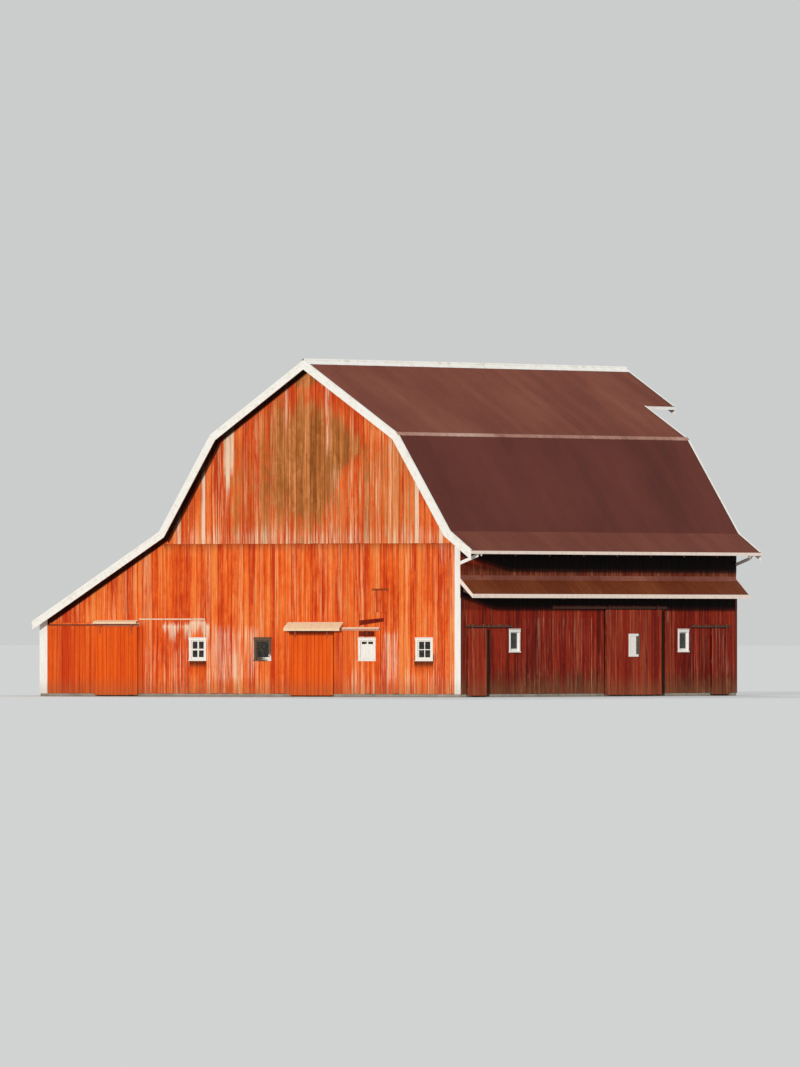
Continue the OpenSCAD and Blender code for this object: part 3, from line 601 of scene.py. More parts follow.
def dusty_glass(name):
    """Old panes with dust in blotches. Their dark colour is painted shade, standing in for the unlit
    inside seen through the glass.
    """
    s = Shade(name, 0.15, specular=0.6)
    blotch = s.noise(s.place, 7, 6, 0.65)
    fine = s.noise(s.place, 160, 3, 0.6)
    dust = s.times(s.range(blotch, 0.35, 0.75), s.range(fine, 0.2, 0.8, 0.6, 1.0))
    colour = s.mix(s.times(dust, 0.4), (13, 13, 14), (112, 102, 84))
    return s.finish(colour, s.range(dust, 0.0, 1.0, 0.08, 0.6), blotch, 0.002, 0.2)


GREYS = ((130, 74, 26), (180, 108, 50), (230, 150, 94))
# The darker greys, the side walls' red and the side doors' red below are the front's colours as they
# look in shade on the right: painted shade, used also at the rear and on the left
SHADED_GREYS = ((74, 30, 14), (110, 54, 28), (156, 96, 64))
# What the sunlit front keeps of its brightness in the deepest painted shade
SUNNY = 0.36
RED = painted_boards("red_boards", ((204, 58, 14), (244, 102, 31), (250, 140, 68), (253, 188, 134)),
                     GREYS, (240, 94, 20), 0.7, SUNNY)
GABLE = painted_boards("weathered_boards", ((202, 62, 18), (236, 104, 40), (248, 146, 82),
                                            (253, 197, 144)), GREYS, (222, 84, 28), 0.85, SUNNY)
SHADED_RED = painted_boards("maroon_boards", ((92, 13, 3), (138, 28, 6), (162, 46, 18), (190, 98, 62)),
                        SHADED_GREYS, (140, 34, 12), 0.8)
DOOR = painted_boards("door_boards", ((218, 72, 14), (242, 96, 20), (246, 112, 36), (248, 158, 104)),
                      GREYS, (248, 99, 18), 0.25)
SHADE_DOOR = painted_boards("shade_door_boards", ((116, 22, 8), (150, 38, 14), (172, 62, 32),
                                                  (202, 118, 84)), SHADED_GREYS, (150, 38, 16), 0.8)
INNER = timber("inner_timber", (74, 58, 44), (134, 112, 88))
FRAME_TIMBER = timber("frame_timber", (66, 50, 38), (116, 92, 70), 40.0, 3.0)
DECK_BOARDS = timber("roof_boards", (48, 34, 26), (92, 68, 52), 30.0, 1.2, 1)
TRIM = white_paint("white_trim", (7, 7, 7), 0.3)
# Away from the barn's ends the eave brackets are dark red: painted shade, so they stay hidden under the
# eave
BRACKET_PAINT = white_paint("bracket_paint", (7, 7, 7), 0.3, (84, 34, 22))
UPRIGHT_TRIM = white_paint("upright_white_trim", (22, 22, 1.6), 0.5, sides=(104, 34, 22))
# The fascias' white is tinted pink: painted warm light thrown back from the red walls
FASCIA_PAINT = white_paint("fascia_paint", (7, 7, 7), 0.3, tint=(255, 238, 230))
HOOD_PAINT = white_paint("hood_paint", (9, 9, 9), 0.6, tint=(255, 226, 192))
WINDOW_TRIM = white_paint("window_trim", (20, 20, 20), 0.4)
CAP_METAL = white_paint("white_metal", (2.5, 2.5, 2.5), 0.0)
ROOF = sheet_metal("roof_metal", (102, 50, 36), (122, 64, 47), (144, 86, 65))
# The lower slopes' and the eave foot's metal are darker copies of the upper slopes' metal: painted shade
SHADED_LOWER_ROOF = sheet_metal("shaded_lower_roof_metal", (83, 37, 29), (97, 45, 35), (110, 57, 45))
SHADED_FOOT_ROOF = sheet_metal("shaded_roof_foot_metal", (100, 49, 36), (115, 60, 44), (132, 75, 58))
PENT_ROOF = sheet_metal("pent_roof_metal", (90, 34, 10), (112, 50, 20), (138, 76, 38))
# The flashings' metal is paler than the roofs': worn metal, and painted highlight along the roof's
# breaks and the pent roof's top
FLASHING = sheet_metal("flashing_metal", (128, 82, 69), (173, 127, 111), (214, 186, 173))
PENT_FLASHING = sheet_metal("pent_flashing_metal", (104, 50, 36), (132, 74, 58), (164, 102, 84))
IRON = iron("rail_metal", (70, 66, 62), 0.6)
HANGER = iron("hanger_metal", (128, 62, 36), 0.6, ((186, 74, 30), (186, 74, 30)))
RAIL = iron("rail_paint", (62, 50, 44), 0.5, ((138, 46, 20), (206, 152, 124)))
NAIL = iron("nail_metal", (84, 72, 62), 0.9)
CONCRETE = concrete("concrete")
GLASS = dusty_glass("glass")


def cover(material, *nodes):
    """Gives CAD nodes a material."""
    for node in nodes:
        data = NODES[node].data
        data.materials.clear()
        data.materials.append(material)


# Openings: windows and doorways by side
def on_wall(low, high):
    """A CAD box's wall, its two ends along that wall, and how far it stands out."""
    if low[1] < FRONT - 0.001 and high[1] < FRONT + WALL:
        return "front", low[0], high[0], FRONT - low[1]
    if high[1] > REAR + 0.001 and low[1] > REAR - WALL:
        return "rear", low[0], high[0], high[1] - REAR
    if high[0] > RIGHT:
        return "right", low[1], high[1], high[0] - RIGHT
    return "left", low[1], high[1], LEFT - low[0]


WINDOWS = [(*on_wall(low, high)[:3], low[2], high[2]) for low, high in islands("window_frames")]
DOOR_SIDE = {"front_door": "front", "lean_to_door": "front", "side_front_door": "right",
             "big_side_door": "right", "side_rear_door": "right", "rear_door": "rear"}


def leaf_of(node):
    """A leaf's two ends along its wall, its foot and its top."""
    low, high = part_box(node)
    axis = 1 if DOOR_SIDE[node] == "right" else 0
    return low[axis], high[axis], low.z, high.z - HANGER_RISE


def doorway_over(low, high):
    """The doorway over a sill: its wall, its two ends, and the top that the nearest leaf laps."""
    side, axis = ("front", 0) if high[0] - low[0] > high[1] - low[1] else ("right", 1)
    u0, u1 = low[axis], high[axis]
    near = min((node for node in DOOR_SIDE if DOOR_SIDE[node] == side),
               key=lambda node: abs(sum(leaf_of(node)[:2]) - u0 - u1))
    return side, u0, u1, leaf_of(near)[3] - LEAF_LAP


DOORWAYS = [doorway_over(*sill) for sill in islands("door_sills")]
REAR_LEAF = leaf_of("rear_door")
DOORWAYS.append(("rear", REAR_LEAF[0] + LEAF_LAP, REAR_LEAF[1] - LEAF_LAP, REAR_LEAF[3] - LEAF_LAP))
HAY_LOW, HAY_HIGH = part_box("hay_door")
BIG_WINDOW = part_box("big_door_window")
FRONT_DOOR_TOP = leaf_of("front_door")[3]

# How far window casings and the hay door lap the openings in the boards
CASING_LAP = 0.026
HAY_LAP = 0.06
HOLES = [(side, u0 + CASING_LAP, u1 - CASING_LAP, z0 + CASING_LAP, z1 - CASING_LAP)
         for side, u0, u1, z0, z1 in WINDOWS]
HOLES += [(side, u0, u1, -1.0, top) for side, u0, u1, top in DOORWAYS]
HOLES.append(("rear", HAY_LOW.x + HAY_LAP, HAY_HIGH.x - HAY_LAP, HAY_LOW.z + HAY_LAP,
              HAY_HIGH.z - HAY_LAP))


def clear_spans(u0, u1, holes):
    """The parts of u0 to u1 outside the holes."""
    spans, start = [], u0
    for a, b in sorted(holes):
        if a > start:
            spans.append((start, a))
        start = max(start, b)
    if u1 > start:
        spans.append((start, u1))
    return spans


def parts(u0, u1, count):
    """u0 to u1 in equal parts."""
    return [(u0 + (u1 - u0) * k / count, u0 + (u1 - u0) * (k + 1) / count) for k in range(count)]


def board_edges(rng, u0, u1, width, stops=()):
    """Neighbouring edges of boards of uneven widths from u0 to u1, with an edge at each stop."""
    marks = [u0]
    for stop in sorted(s for s in stops if u0 + 0.05 < s < u1 - 0.05):
        if stop - marks[-1] > 0.05:
            marks.append(stop)
    marks.append(u1)
    edges = [u0]
    for a, b in zip(marks, marks[1:]):
        count = max(1, round((b - a) / width))
        weights = [1 + rng.uniform(-0.22, 0.22) for _ in range(count)]
        for weight in weights[:-1]:
            edges.append(edges[-1] + (b - a) * weight / sum(weights))
        edges.append(b)
    return list(zip(edges, edges[1:]))


# Wear and painted shade of the walls. A zone gives greyed wood, newer paint, white paint, and painted
# shade with a few marks, at a place
def evenly(*values):
    """A zone that is the same all over."""
    return lambda x, y, z: values


# A patch is its strength, its two ends along the wall and how softly they fade, then its foot
# and top and how softly those fade. UNDER and OVER stand for no foot and no top
UNDER, OVER = -9.0, 99.0
# Middles of the two outer front windows, from the ridge line
OUTER_WINDOW = 4.72
FRONT_NEW = ((1.0, -11.2, -6.95, 0.15, UNDER, 2.5, 0.12),
             (0.8, -OUTER_WINDOW - 0.34, -OUTER_WINDOW + 0.34, 0.04, 0.8, 1.24, 0.06),
             (0.8, OUTER_WINDOW - 0.34, OUTER_WINDOW + 0.34, 0.04, 0.8, 1.24, 0.06),
             (0.5, -1.0, 1.6, 0.3, UNDER, 2.5, 0.4))
FRONT_RUNS = ((0.56, -4.1, -2.3, 0.5, 0.7, 2.3, 0.6),
              (0.56, 3.0, 3.6, 0.2, 0.7, 2.1, 0.5),
              (0.44, -6.9, -5.2, 0.25, UNDER, 1.5, 1.1),
              (0.45, 1.6, 6.0, 0.8, UNDER, 0.5, 1.2),
              (0.4, -5.4, -1.2, 0.6, UNDER, 0.4, 1.0),
              (0.5, 5.4, 5.7, 0.12, 4.9, OVER, 1.0))
FRONT_GREY = ((0.12, 1.3, 3.2, 0.4, 2.7, 3.9, 0.2),)
GABLE_GREY = ((0.2, -3.6, 4.0, 0.6, 5.6, 8.6, 0.8),)
GABLE_WHITE = ((0.52, -5.0, 5.0, 0.8, UNDER, LAP + 0.2, 1.3),
               (0.38, 0.9, 2.8, 0.5, 5.9, 7.9, 0.9),
               (0.85, -3.56, -3.2, 0.05, 8.1, OVER, 1.0))
SIDE_WHITE = ((0.3, 3.9, 9.4, 0.6, 0.4, 2.7, 0.3),
              (0.3, 15.2, 18.2, 0.4, 0.8, 2.3, 0.3))
# Pale boards of the gable: place from the ridge line, strength, and height where they fade
PALE = ((-5.5, 0.7, 0.0), (-4.47, 0.8, 0.0), (-3.44, 0.9, 7.5), (-0.99, 0.5, 9.6), (0.7, 0.6, 8.6),
        (1.72, 0.3, 6.0), (3.32, 0.45, 6.0), (4.43, 0.85, 0.0), (5.42, 0.8, 0.0))


def most(u, z, patches):
    """The strongest of the patches at a place."""
    return max(strength * window_of(u, u0, u1, soft) * window_of(z, z0, z1, fade)
               for strength, u0, u1, soft, z0, z1, fade in patches)


def rake_shade(x, z):
    """Painted shadow close under the left rakes. It falls straight with the distance from the roof and
    isn't clamped, so that it stays true between a board's rows of points."""
    if x > RIDGE:
        return 0.0
    slope = (under_roof(x + 0.01) - under_roof(x - 0.01)) / 0.02
    return 8.1 - 30.0 * (under_roof(x) - z) / math.hypot(1.0, slope)


def front_zone(x, y, z):
    """Front wall: newer paint low on the lean-to and under two windows, runs under the ledge, and
    painted shadow under the left rakes, under the lap and under the outer windows' sills.
    """
    u = x - RIDGE
    ragged = 0.45 * math.sin(9.0 * u) + 0.3 * math.sin(23.0 * u + 1.0)
    runs = window_of(u, -6.1, -4.3, 0.25) + 0.35 * window_of(u, -7.1, -6.2, 0.2)
    runs *= smooth(z, 1.5 + ragged, 2.6 + 0.4 * ragged) * (1 - smooth(z, 2.68, 2.78))
    damp = rake_shade(x, z)
    # Painted shadow under the gable's lap
    if u > -6.2:
        damp = max(damp, 0.5 - 1.2 * (LAP - z))
    # Painted shadow under the outer windows' sills
    if abs(abs(u) - OUTER_WINDOW) < 0.36 and z < 1.3:
        damp = max(damp, 1.0 - 4.0 * (1.2 - z))
    white = max(runs * 0.85, most(u, z, FRONT_RUNS))
    return most(u, z, FRONT_GREY), most(u, z, FRONT_NEW), white, damp


def gable_zone(x, y, z):
    """Upper gable: greyed wood round its middle and at the very top, paler along the lap, and
    painted shadow under the left rakes.
    """
    u = x - RIDGE
    top = 10.6 - 0.62 * max(u - 0.2, 0.0)
    right = 0.4 + 1.6 * smooth(z, 7.6, 8.9)
    grey = 0.78 * window_of(u, -1.2, right, 1.2) + 0.3 * window_of(u, -0.4, right - 0.3, 0.7)
    grey *= (1 - smooth(z, top - 1.6, top + 0.5)) * (0.25 + 0.75 * smooth(z, LAP + 0.3, LAP + 2.2))
    grey = max(grey, most(u, z, GABLE_GREY), 0.95 * smooth(z, 10.85, 11.1))
    return grey, 0.6 * smooth(z, 9.5, 10.3), most(u, z, GABLE_WHITE), rake_shade(x, z)


def rear_gable_zone(x, y, z):
    """Rear gable: greyed round its middle, as the front one."""
    grey, _, white, _ = gable_zone(2 * RIDGE - x, y, z)
    return grey * 0.8, 0.0, white * 0.4, 0.0


def side_zone(x, y, z):
    """Side walls: worn low down, with painted shadow on the right wall under the eave and under the pent
    roof.
    """
    grey = 0.32 * (1 - smooth(z, 0.3, 1.5))
    v = y - FRONT
    shade = 0.0
    if x > RIGHT - 0.2:
        # Painted shadow under the eave and under the pent roof, less deep at the front corner; the
        # boards just over the pent roof are greyed
        foot = max(4.36, 4.93 - 0.175 * v) if z > 3.9 else max(3.02, 3.44 - 0.18 * v)
        shade = 1.0 + (z - foot - 0.06) / 0.11
        grey = max(grey, 0.5 * window_of(z, 4.15, 4.4, 0.1))
    return grey, 0.0, most(v, z, SIDE_WHITE), shade


def pale_zone(zone, strength, foot):
    """A zone with old white paint over it, which fades out below the height foot."""
    def paler(x, y, z):
        grey, new, white, damp = zone(x, y, z)
        share = strength * smooth(z, foot - 1.6, foot + 0.4)
        return grey * (1 - share), new, max(white, share), damp
    return paler


def new_zone(x, y, z):
    """Newer paint, with painted shadow at the top of the front door under its hood."""
    return 0.0, 0.85, 0.0, 1.7 - 9.0 * (FRONT_DOOR_TOP - z) if x > MAIN else 0.0


def strip_zone(x, y, z):
    """Faded strips, palest near the top. On the big leaf's front edge the paleness is partly painted
    highlight, standing in for the sunlit edge of the leaf.
    """
    return 0.25, 0.0, 0.5 * smooth(z, 1.4, 2.9), 0.0


def header_zone(x, y, z):
    """White paint left on the front's headers: little over the lean-to door, most by the hoods."""
    u = x - RIDGE
    return 0.0, 0.3, 0.3 + 0.6 * smooth(u, -9.3, -8.6) + 0.05 * smooth(u, -2.0, 0.0), 0.0


def bare_window_zone(u0, u1, z0):
    """White paint gone from a window, but for what is left low on its right."""
    def bare(x, y, z):
        kept = x > (u0 + u1) / 2 + 0.1 and z < z0 + 0.3
        return 0.25 if kept else 1.0, 0.0, 0.0, 0.0
    return bare


# Walls
ENDS = ("front", "rear")
END_GIRTS = (1.05, 2.62, 4.0, 5.2)
GIRTS = {"front": END_GIRTS, "rear": END_GIRTS, "right": (1.2, 3.12, 4.4), "left": (1.0, 2.3)}
GABLE_GIRTS = (6.6, 8.0, 9.4, 10.7)
FLANK = FRONT + BOARD + 0.002, REAR - BOARD - 0.002


def board_spans(low, tops, cuts):
    """The parts of a board that no opening takes, each as its foot and its top's two heights."""
    spans, start = [], low
    for z0, z1 in sorted(cuts):
        if z1 < start or z0 > max(tops):
            continue
        if z0 > start:
            spans.append((start, (z0, z0)))
        start = z1
    if min(tops) > start + 0.02:
        spans.append((start, tops))
    return spans


def boarding(piece, side, u0, u1, low, top, out, zone, girts, width=0.225, pale=()):
    """Vertical boards from low to top(u), cut round the openings, with a nail pair at each girt."""
    draw = piece.rng
    at = SIDES[side]
    holes = [hole[1:] for hole in HOLES if hole[0] == side]
    stops = [end for hole in holes for end in hole[:2]]
    stops += [RIDGE + board[0] + d for board in pale for d in (-0.09, 0.09)]
    if side in ENDS:
        stops += [place.x for place in PROFILE[1:-1]]
    for a, b in board_edges(draw, u0, u1, width, stops):
        middle = (a + b) / 2
        paleness = next((board[1:] for board in pale if abs(middle - RIDGE - board[0]) < 0.06), None)
        tone = piece.tone(0.95 if paleness else draw.random() ** 1.6)
        gap = draw.uniform(0.0012, 0.003)
        face = out + draw.gauss(0, 0.0016)
        foot = low + abs(draw.gauss(0, 0.006))
        cuts = [hole[2:] for hole in holes if hole[0] < middle < hole[1]]
        board_zone = pale_zone(zone, *paleness) if paleness else zone
        for z0, z1 in board_spans(foot, (top(a), top(b)), cuts):
            piece.board(at, a + gap, b - gap, z0, z1, face, BOARD, tone, board_zone, step=0.3, back=2)
            for z in girts:
                if z0 + 0.05 < z < min(z1) - 0.05:
                    for u in (a + 0.035, b - 0.035):
                        piece.nail(at, u + draw.gauss(0, 0.004), z + draw.gauss(0, 0.012), face)


def wall(name, side, u0, u1, top, paint, zone, *nodes):
    """Boards of a wall up to top(u)."""
    piece = Piece(name)
    boarding(piece, side, u0, u1, BASE + 0.003, top, 0.0, zone, GIRTS[side])
    piece.done((paint, NAIL, INNER), "barn", "red_boards", *nodes)


def gable(name, side, paint, zone, node, pale=()):
    """Boards of a gable, which lap over the wall below."""
    piece = Piece(name)
    boarding(piece, side, MAIN, RIGHT, LAP, under_roof, BOARD, zone, (LAP + 0.12, *GABLE_GIRTS),
             0.235, pale)
    piece.done((paint, NAIL, INNER), "barn", "weathered_boards", node)


def repairs():
    """Mended boards high over the covered window of the front wall, and dark boards near it."""
    piece = Piece("front_wall_repairs")
    at = SIDES["front"]
    edges = board_edges(piece.rng, RIDGE + 2.6, RIDGE + 3.2, 0.18)
    for a, b in edges:
        foot = 2.95 + piece.rng.uniform(0, 0.03)
        piece.board(at, a + 0.002, b - 0.002, foot, 3.72, 0.019, 0.0185, zone=evenly(0.1, 0.0, 0.0, 0.2))
    for z in (3.06, 3.6):
        for a, b in edges:
            piece.nail(at, (a + b) / 2, z, 0.019)
    piece.box(at, RIDGE + 2.57, RIDGE + 3.23, 3.722, 3.785, 0.0005, 0.022, evenly(0.0, 0.0, 0.0, 0.75))
    dark = evenly(0.0, 0.3, 0.0, 0.4)
    piece.box(at, RIDGE + 2.02, RIDGE + 2.66, 2.12, 2.3, 0.0005, 0.016, dark, 2)
    # The slanting board narrows to the right
    u0, u1, z0, z1 = RIDGE + 2.04, RIDGE + 3.05, 2.5, 2.64
    rings = []
    for f in (0.0, 0.33, 0.66, 1.0):
        u, z = u0 + (u1 - u0) * f, z0 + (z1 - z0) * f
        wide = 0.18 - 0.06 * f
        section = ((0.0005, 0.0), (0.02, 0.003), (0.02, wide - 0.003), (0.0005, wide))
        rings.append([at(u, o, z + dz) for o, dz in section])
    piece.rings(rings, piece.tone(), dark, 2)
    piece.done((RED, NAIL, SHADED_RED), "barn", "red_boards")


def girts():
    """Rails behind the boards, and studs beside the doorways."""
    piece = Piece("wall_girts")
    back, face = -WALL + 0.008, -BOARD - 0.006
    across, along_side = (LEFT + 0.13, RIGHT - 0.13), (FRONT + 0.14, REAR - 0.14)
    for side in ("front", "rear", "right", "left"):
        at = SIDES[side]
        u0, u1 = across if side in ENDS else along_side
        for z in GIRTS[side] + (GABLE_GIRTS if side in ENDS else ()):
            z0, z1 = z - 0.05, z + 0.05
            reach = (u0, u1)
            if side in ENDS:
                steps = [u0 + (u1 - u0) * k / 400 for k in range(401)]
                inside = [u for u in steps if under_roof(u) > z1 + 0.04]
                reach = (inside[0], inside[-1])
            holes = [(a - 0.02, b + 0.02) for where, a, b, low, high in HOLES
                     if where == side and low - 0.03 < z1 and high + 0.03 > z0]
            for a, b in clear_spans(*reach, holes):
                piece.box(at, a, b, z0, z1, back, face)
        for a, b, top in (doorway[1:] for doorway in DOORWAYS if doorway[0] == side):
            for edge in (a - 0.075, b + 0.005):
                piece.box(at, edge, edge + 0.07, BASE + 0.004, top + 0.02, back, face)
            piece.box(at, a - 0.075, b + 0.075, top + 0.024, top + 0.12, back, face)
    piece.done((INNER,), "barn", "frame_timber")


def walls():
    """All boarded walls and what frames them."""
    def to_lap(u):
        return LAP + 0.06

    wall("front_boards", "front", MAIN, RIGHT, to_lap, RED, front_zone, "front_wall",
         "front_wall_over_door")
    wall("lean_to_front_boards", "front", LEFT, MAIN, under_roof, RED, front_zone,
         "lean_to_front_wall", "lean_to_wall_over_door")
    gable("gable_boards", "front", GABLE, gable_zone, "front_gable", PALE)
    wall("rear_boards", "rear", MAIN, RIGHT, to_lap, SHADED_RED, side_zone, "rear_wall")
    wall("lean_to_rear_boards", "rear", LEFT, MAIN, under_roof, SHADED_RED, side_zone,
         "lean_to_rear_wall")
    gable("rear_gable_boards", "rear", SHADED_RED, rear_gable_zone, "rear_gable")
    repairs()
    wall("right_boards", "right", *FLANK, lambda u: under_roof(RIGHT), SHADED_RED, side_zone,
         "right_wall", "right_wall_over_doors")
    wall("left_boards", "left", *FLANK, lambda u: under_roof(LEFT), SHADED_RED, side_zone, "left_wall")
    girts()


# Sheet metal roofs
FRONT_EDGE, REAR_EDGE = (end.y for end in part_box("upper_roof_right"))
HOOD_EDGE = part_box("hay_hood_roof")[1].y
HOOD_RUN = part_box("hay_hood_roof")[1].x - RIDGE
# How far sheets reach past the roof boards, and how far trim stands out past them
SHEET_REACH = 0.022
TRIM_REACH = 0.03
SHEET_PITCH = 0.61
FLAT, RIB = 0.003, 0.016
# Two low ridges between the ribs: share of the sheet's width, and height where it doesn't swell
LOW_RIDGES = ((0.34, None), (0.36, 0.006), (0.38, None), (0.64, None), (0.66, 0.006), (0.68, None))


def sheeting(name, a, b, y0, y1, material, eave=0.02):
    """Ribbed sheets on a slope from its top line a to its foot b, both (x, z), from y0 to y1."""
    piece = Piece(name)
    a, b = Vector(a), Vector(b)
    down = (b - a).normalized()
    normal = Vector((-down.y, down.x))
    if normal.y < 0:
        normal = -normal
    length = (b - a).length
    count = max(1, round((y1 - y0) / SHEET_PITCH))
    pitch = (y1 - y0) / count
    rows = max(2, math.ceil(length / 0.7) + 1)
    for k in range(count):
        tone = piece.tone()
        start, end = y0 + k * pitch, y0 + (k + 1) * pitch
        swells = [FLAT + abs(piece.rng.gauss(0.0, 0.0012)) for _ in range(rows)]
        # The sheet's own rib stands at its start and laps over the sheet before it
        section = [(start - 0.022, FLAT), (start - 0.009, RIB), (start + 0.009, RIB),
                   (start + 0.022, FLAT)]
        section += [(start + pitch * share, height) for share, height in LOW_RIDGES]
        section += [(end - 0.03, FLAT), (end - (0.0 if k == count - 1 else 0.012), FLAT)]
        if k == 0:
            section = [(y0, FLAT)] + section[3:]
        rings = []
        for j, swell in enumerate(swells):
            s = (length + eave) * j / (rows - 1)
            upper = [(y, swell if height is None else height) for y, height in section]
            lower = [(y, height - SKIN) for y, height in reversed(upper)]
            places = [(y, a + down * s + normal * height) for y, height in upper + lower]
            rings.append([(p.x, y, p.y) for y, p in places])
        piece.rings(rings, tone)
    piece.done((material,), "barn", "roof_metal")


def roofs():
    """Sheets over every slope, over the hay hood and over the pent roof."""
    y0, y1 = FRONT_EDGE - SHEET_REACH, REAR_EDGE + SHEET_REACH
    metals = (SHADED_FOOT_ROOF, SHADED_LOWER_ROOF, ROOF, ROOF, SHADED_LOWER_ROOF, ROOF)
    for i, (node, metal) in enumerate(zip(SLOPES, metals)):
        eave = 0.025 if i in (0, len(SLOPES) - 1) else 0.0
        sheeting(node + "_sheets", *slope_ends(i), y0, y1, metal, eave)
    for sign, word in ((1, "right"), (-1, "left")):
        foot = RIDGE + sign * HOOD_RUN
        sheeting(f"hay_hood_sheets_{word}", PROFILE[TOP], (foot, roof_z(foot, 0.0)), y1 + 0.002,
                 HOOD_EDGE + SHEET_REACH, ROOF)
    sheeting("pent_roof_sheets", *top_line("pent_roof"), FRONT + 0.002, REAR - 0.002, PENT_ROOF)
    cover(DECK_BOARDS, *SLOPES, "hay_hood_roof", "pent_roof")


def folded(piece, points, y0, y1, length=3.05, slot=0):
    """Strips of sheet folded along Y through points (x, z), in lengths that lap."""
    for k, (a, b) in enumerate(parts(y0, y1, max(1, round((y1 - y0) / length)))):
        a -= 0.03 if k else 0.0
        line = [Vector(p) + Vector((0, 0.0012 * (k % 2))) for p in points]
        inside = []
        for point, before, after in zip(line, line[:1] + line[:-1], line[1:] + line[-1:]):
            along_fold = (after - before).normalized()
            normal = Vector((-along_fold.y, along_fold.x))
            inside.append(point - (normal if normal.y > 0 else -normal) * SKIN)
        outline = line + inside[::-1]
        rows = [(a + (b - a) * j / 6, piece.rng.gauss(0, 0.0008)) for j in range(7)]
        rings = [[(p.x, y, p.y + wave) for p in outline] for y, wave in rows]
        piece.rings(rings, piece.tone(), slot=slot)


def along(i, s, lift):
    """A point on roof line i, s down from its upper end and lifted off the slope."""
    upper, lower = slope_ends(i)
    return upper + (lower - upper).normalized() * s - inward(i) * lift


def flashings():
    """Folded flashing over the breaks of the main roof and along the pent roof's top."""
    piece = Piece("break_flashings")
    for up, down, turn in ((TOP - 1, TOP - 2, TOP - 1), (TOP, TOP + 1, TOP + 1)):
        length = (PROFILE[up + 1] - PROFILE[up]).length
        out = (-(inward(up) + inward(down))).normalized()
        points = [along(up, length - 0.085, 0.004), along(up, length - 0.085, 0.024),
                  along(up, length - 0.075, 0.026), along(up, length - 0.07, 0.019),
                  PROFILE[turn] + out * 0.021, along(down, 0.06, 0.019), along(down, 0.07, 0.006)]
        folded(piece, points, FRONT_EDGE - 0.026, REAR_EDGE + 0.026)
    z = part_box("pent_roof")[1].z
    points = [(RIGHT + 0.004, z + 0.1), (RIGHT + 0.006, z + 0.02), (RIGHT + 0.03, z - 0.006),
              (RIGHT + 0.09, z - 0.075)]
    folded(piece, points, FRONT + 0.03, REAR - 0.03, slot=1)
    piece.done((FLASHING, PENT_FLASHING), "barn", "roof_metal", "roof_flashings")


def ridge():
    """Ridge cap: two wings over the ribs and a roll along the top."""
    piece = Piece("ridge_cap_roll")
    low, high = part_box("ridge_cap")
    run = high.x - RIDGE
    peak, beside = PROFILE[TOP], PROFILE[TOP - 1]
    slope = (peak.y - beside.y) / (beside.x - peak.x)
    top = peak.y + 0.022
    wing = [(RIDGE - run, top - slope * run - 0.008), (RIDGE - run + 0.004, top - slope * run)]
    turns = [math.pi * (1.15 - 1.3 * k / 10) for k in range(11)]
    roll = [(RIDGE + 0.045 * math.cos(t), top + 0.01 + 0.05 * math.sin(t)) for t in turns]
    other = [(2 * RIDGE - x, z) for x, z in reversed(wing)]
    folded(piece, wing + roll + other, low.y, high.y, 2.44)
    piece.done((CAP_METAL,), "barn", "white_metal", "ridge_cap")


def edge_trim():
    """White folded trim over the sheets' ends, along the gables and round the hay hood."""
    piece = Piece("gable_edge_trim")
    # Depths below the profile of the flange that lies on the sheets and of the drop's lower edge
    flange, drop = -0.0185, 0.06

    def strip(start, end, y, turn):
        """A folded strip between two places, each a function of the depth below the profile."""
        inner, outer = y + turn * 0.11, y - turn * 0.004
        section = [(inner, flange), (outer, flange), (outer, drop), (outer + turn * SKIN, drop),
                   (outer + turn * SKIN, flange + SKIN), (inner, flange + SKIN)]
        rings = [[(place(d).x, y, place(d).y) for y, d in section] for place in (start, end)]
        piece.rings(rings, piece.tone())

    def at_corner(i):
        return lambda d: corner(i, d)

    def at_hood(sign):
        x = RIDGE + sign * HOOD_RUN
        return lambda d: Vector((x, roof_z(x, d)))

    for i in range(len(SLOPES)):
        strip(at_corner(i), at_corner(i + 1), FRONT_EDGE - TRIM_REACH, 1)
        # At the rear the hood carries the upper slopes on, down to its foot
        start = at_hood(-1) if i == TOP else at_corner(i)
        end = at_hood(1) if i == TOP - 1 else at_corner(i + 1)
        strip(start, end, REAR_EDGE + TRIM_REACH, -1)
    for sign in (1, -1):
        strip(at_corner(TOP), at_hood(sign), HOOD_EDGE + TRIM_REACH, -1)
    piece.done((CAP_METAL,), "barn", "white_metal")


# Windows: width of a casing and of a sash's stiles, and the sash's two faces
WIDE = 0.088
STILE = 0.034
SASH_BACK, SASH_FACE = -0.046, -0.018


def casing(piece, at, u0, u1, z0, z1, lip, zone):
    """A window's casing, sloping sill, head drip and the frame inside the opening."""
    skew = piece.rng.gauss(0, 0.002)
    for a, b in ((u0, u0 + WIDE), (u1 - WIDE, u1)):
        piece.board(at, a, b, z0 + 0.05, z1 - WIDE, CASING, CASING, zone=zone)
    piece.box(at, u0 - 0.008, u1 + 0.008, z1 - WIDE + 0.001, z1 + skew, 0.0, CASING + 0.003, zone)
    sill = [(-0.02, z0 + 0.056), (lip, z0 + 0.042), (lip, z0 + 0.008), (0.0, z0)]
    drip = [(0.0, z1 + 0.03), (lip, z1 + 0.018), (lip, z1 + 0.004), (0.0, z1 + 0.004)]
    for section in (sill, drip):
        piece.prism(at, section, (u0 - 0.012, (u0 + u1) / 2, u1 + 0.012), zone)
    for a, b in ((u0 + 0.052, u0 + WIDE), (u1 - WIDE, u1 - 0.052)):
        piece.box(at, a, b, z0 + 0.058, z1 - 0.056, -0.088, -0.001, zone)
    for a, b, face in ((z0 + 0.055, z0 + 0.089, -0.022), (z1 - 0.089, z1 - 0.055, -0.001)):
        piece.box(at, u0 + 0.089, u1 - 0.089, a, b, -0.088, face, zone)


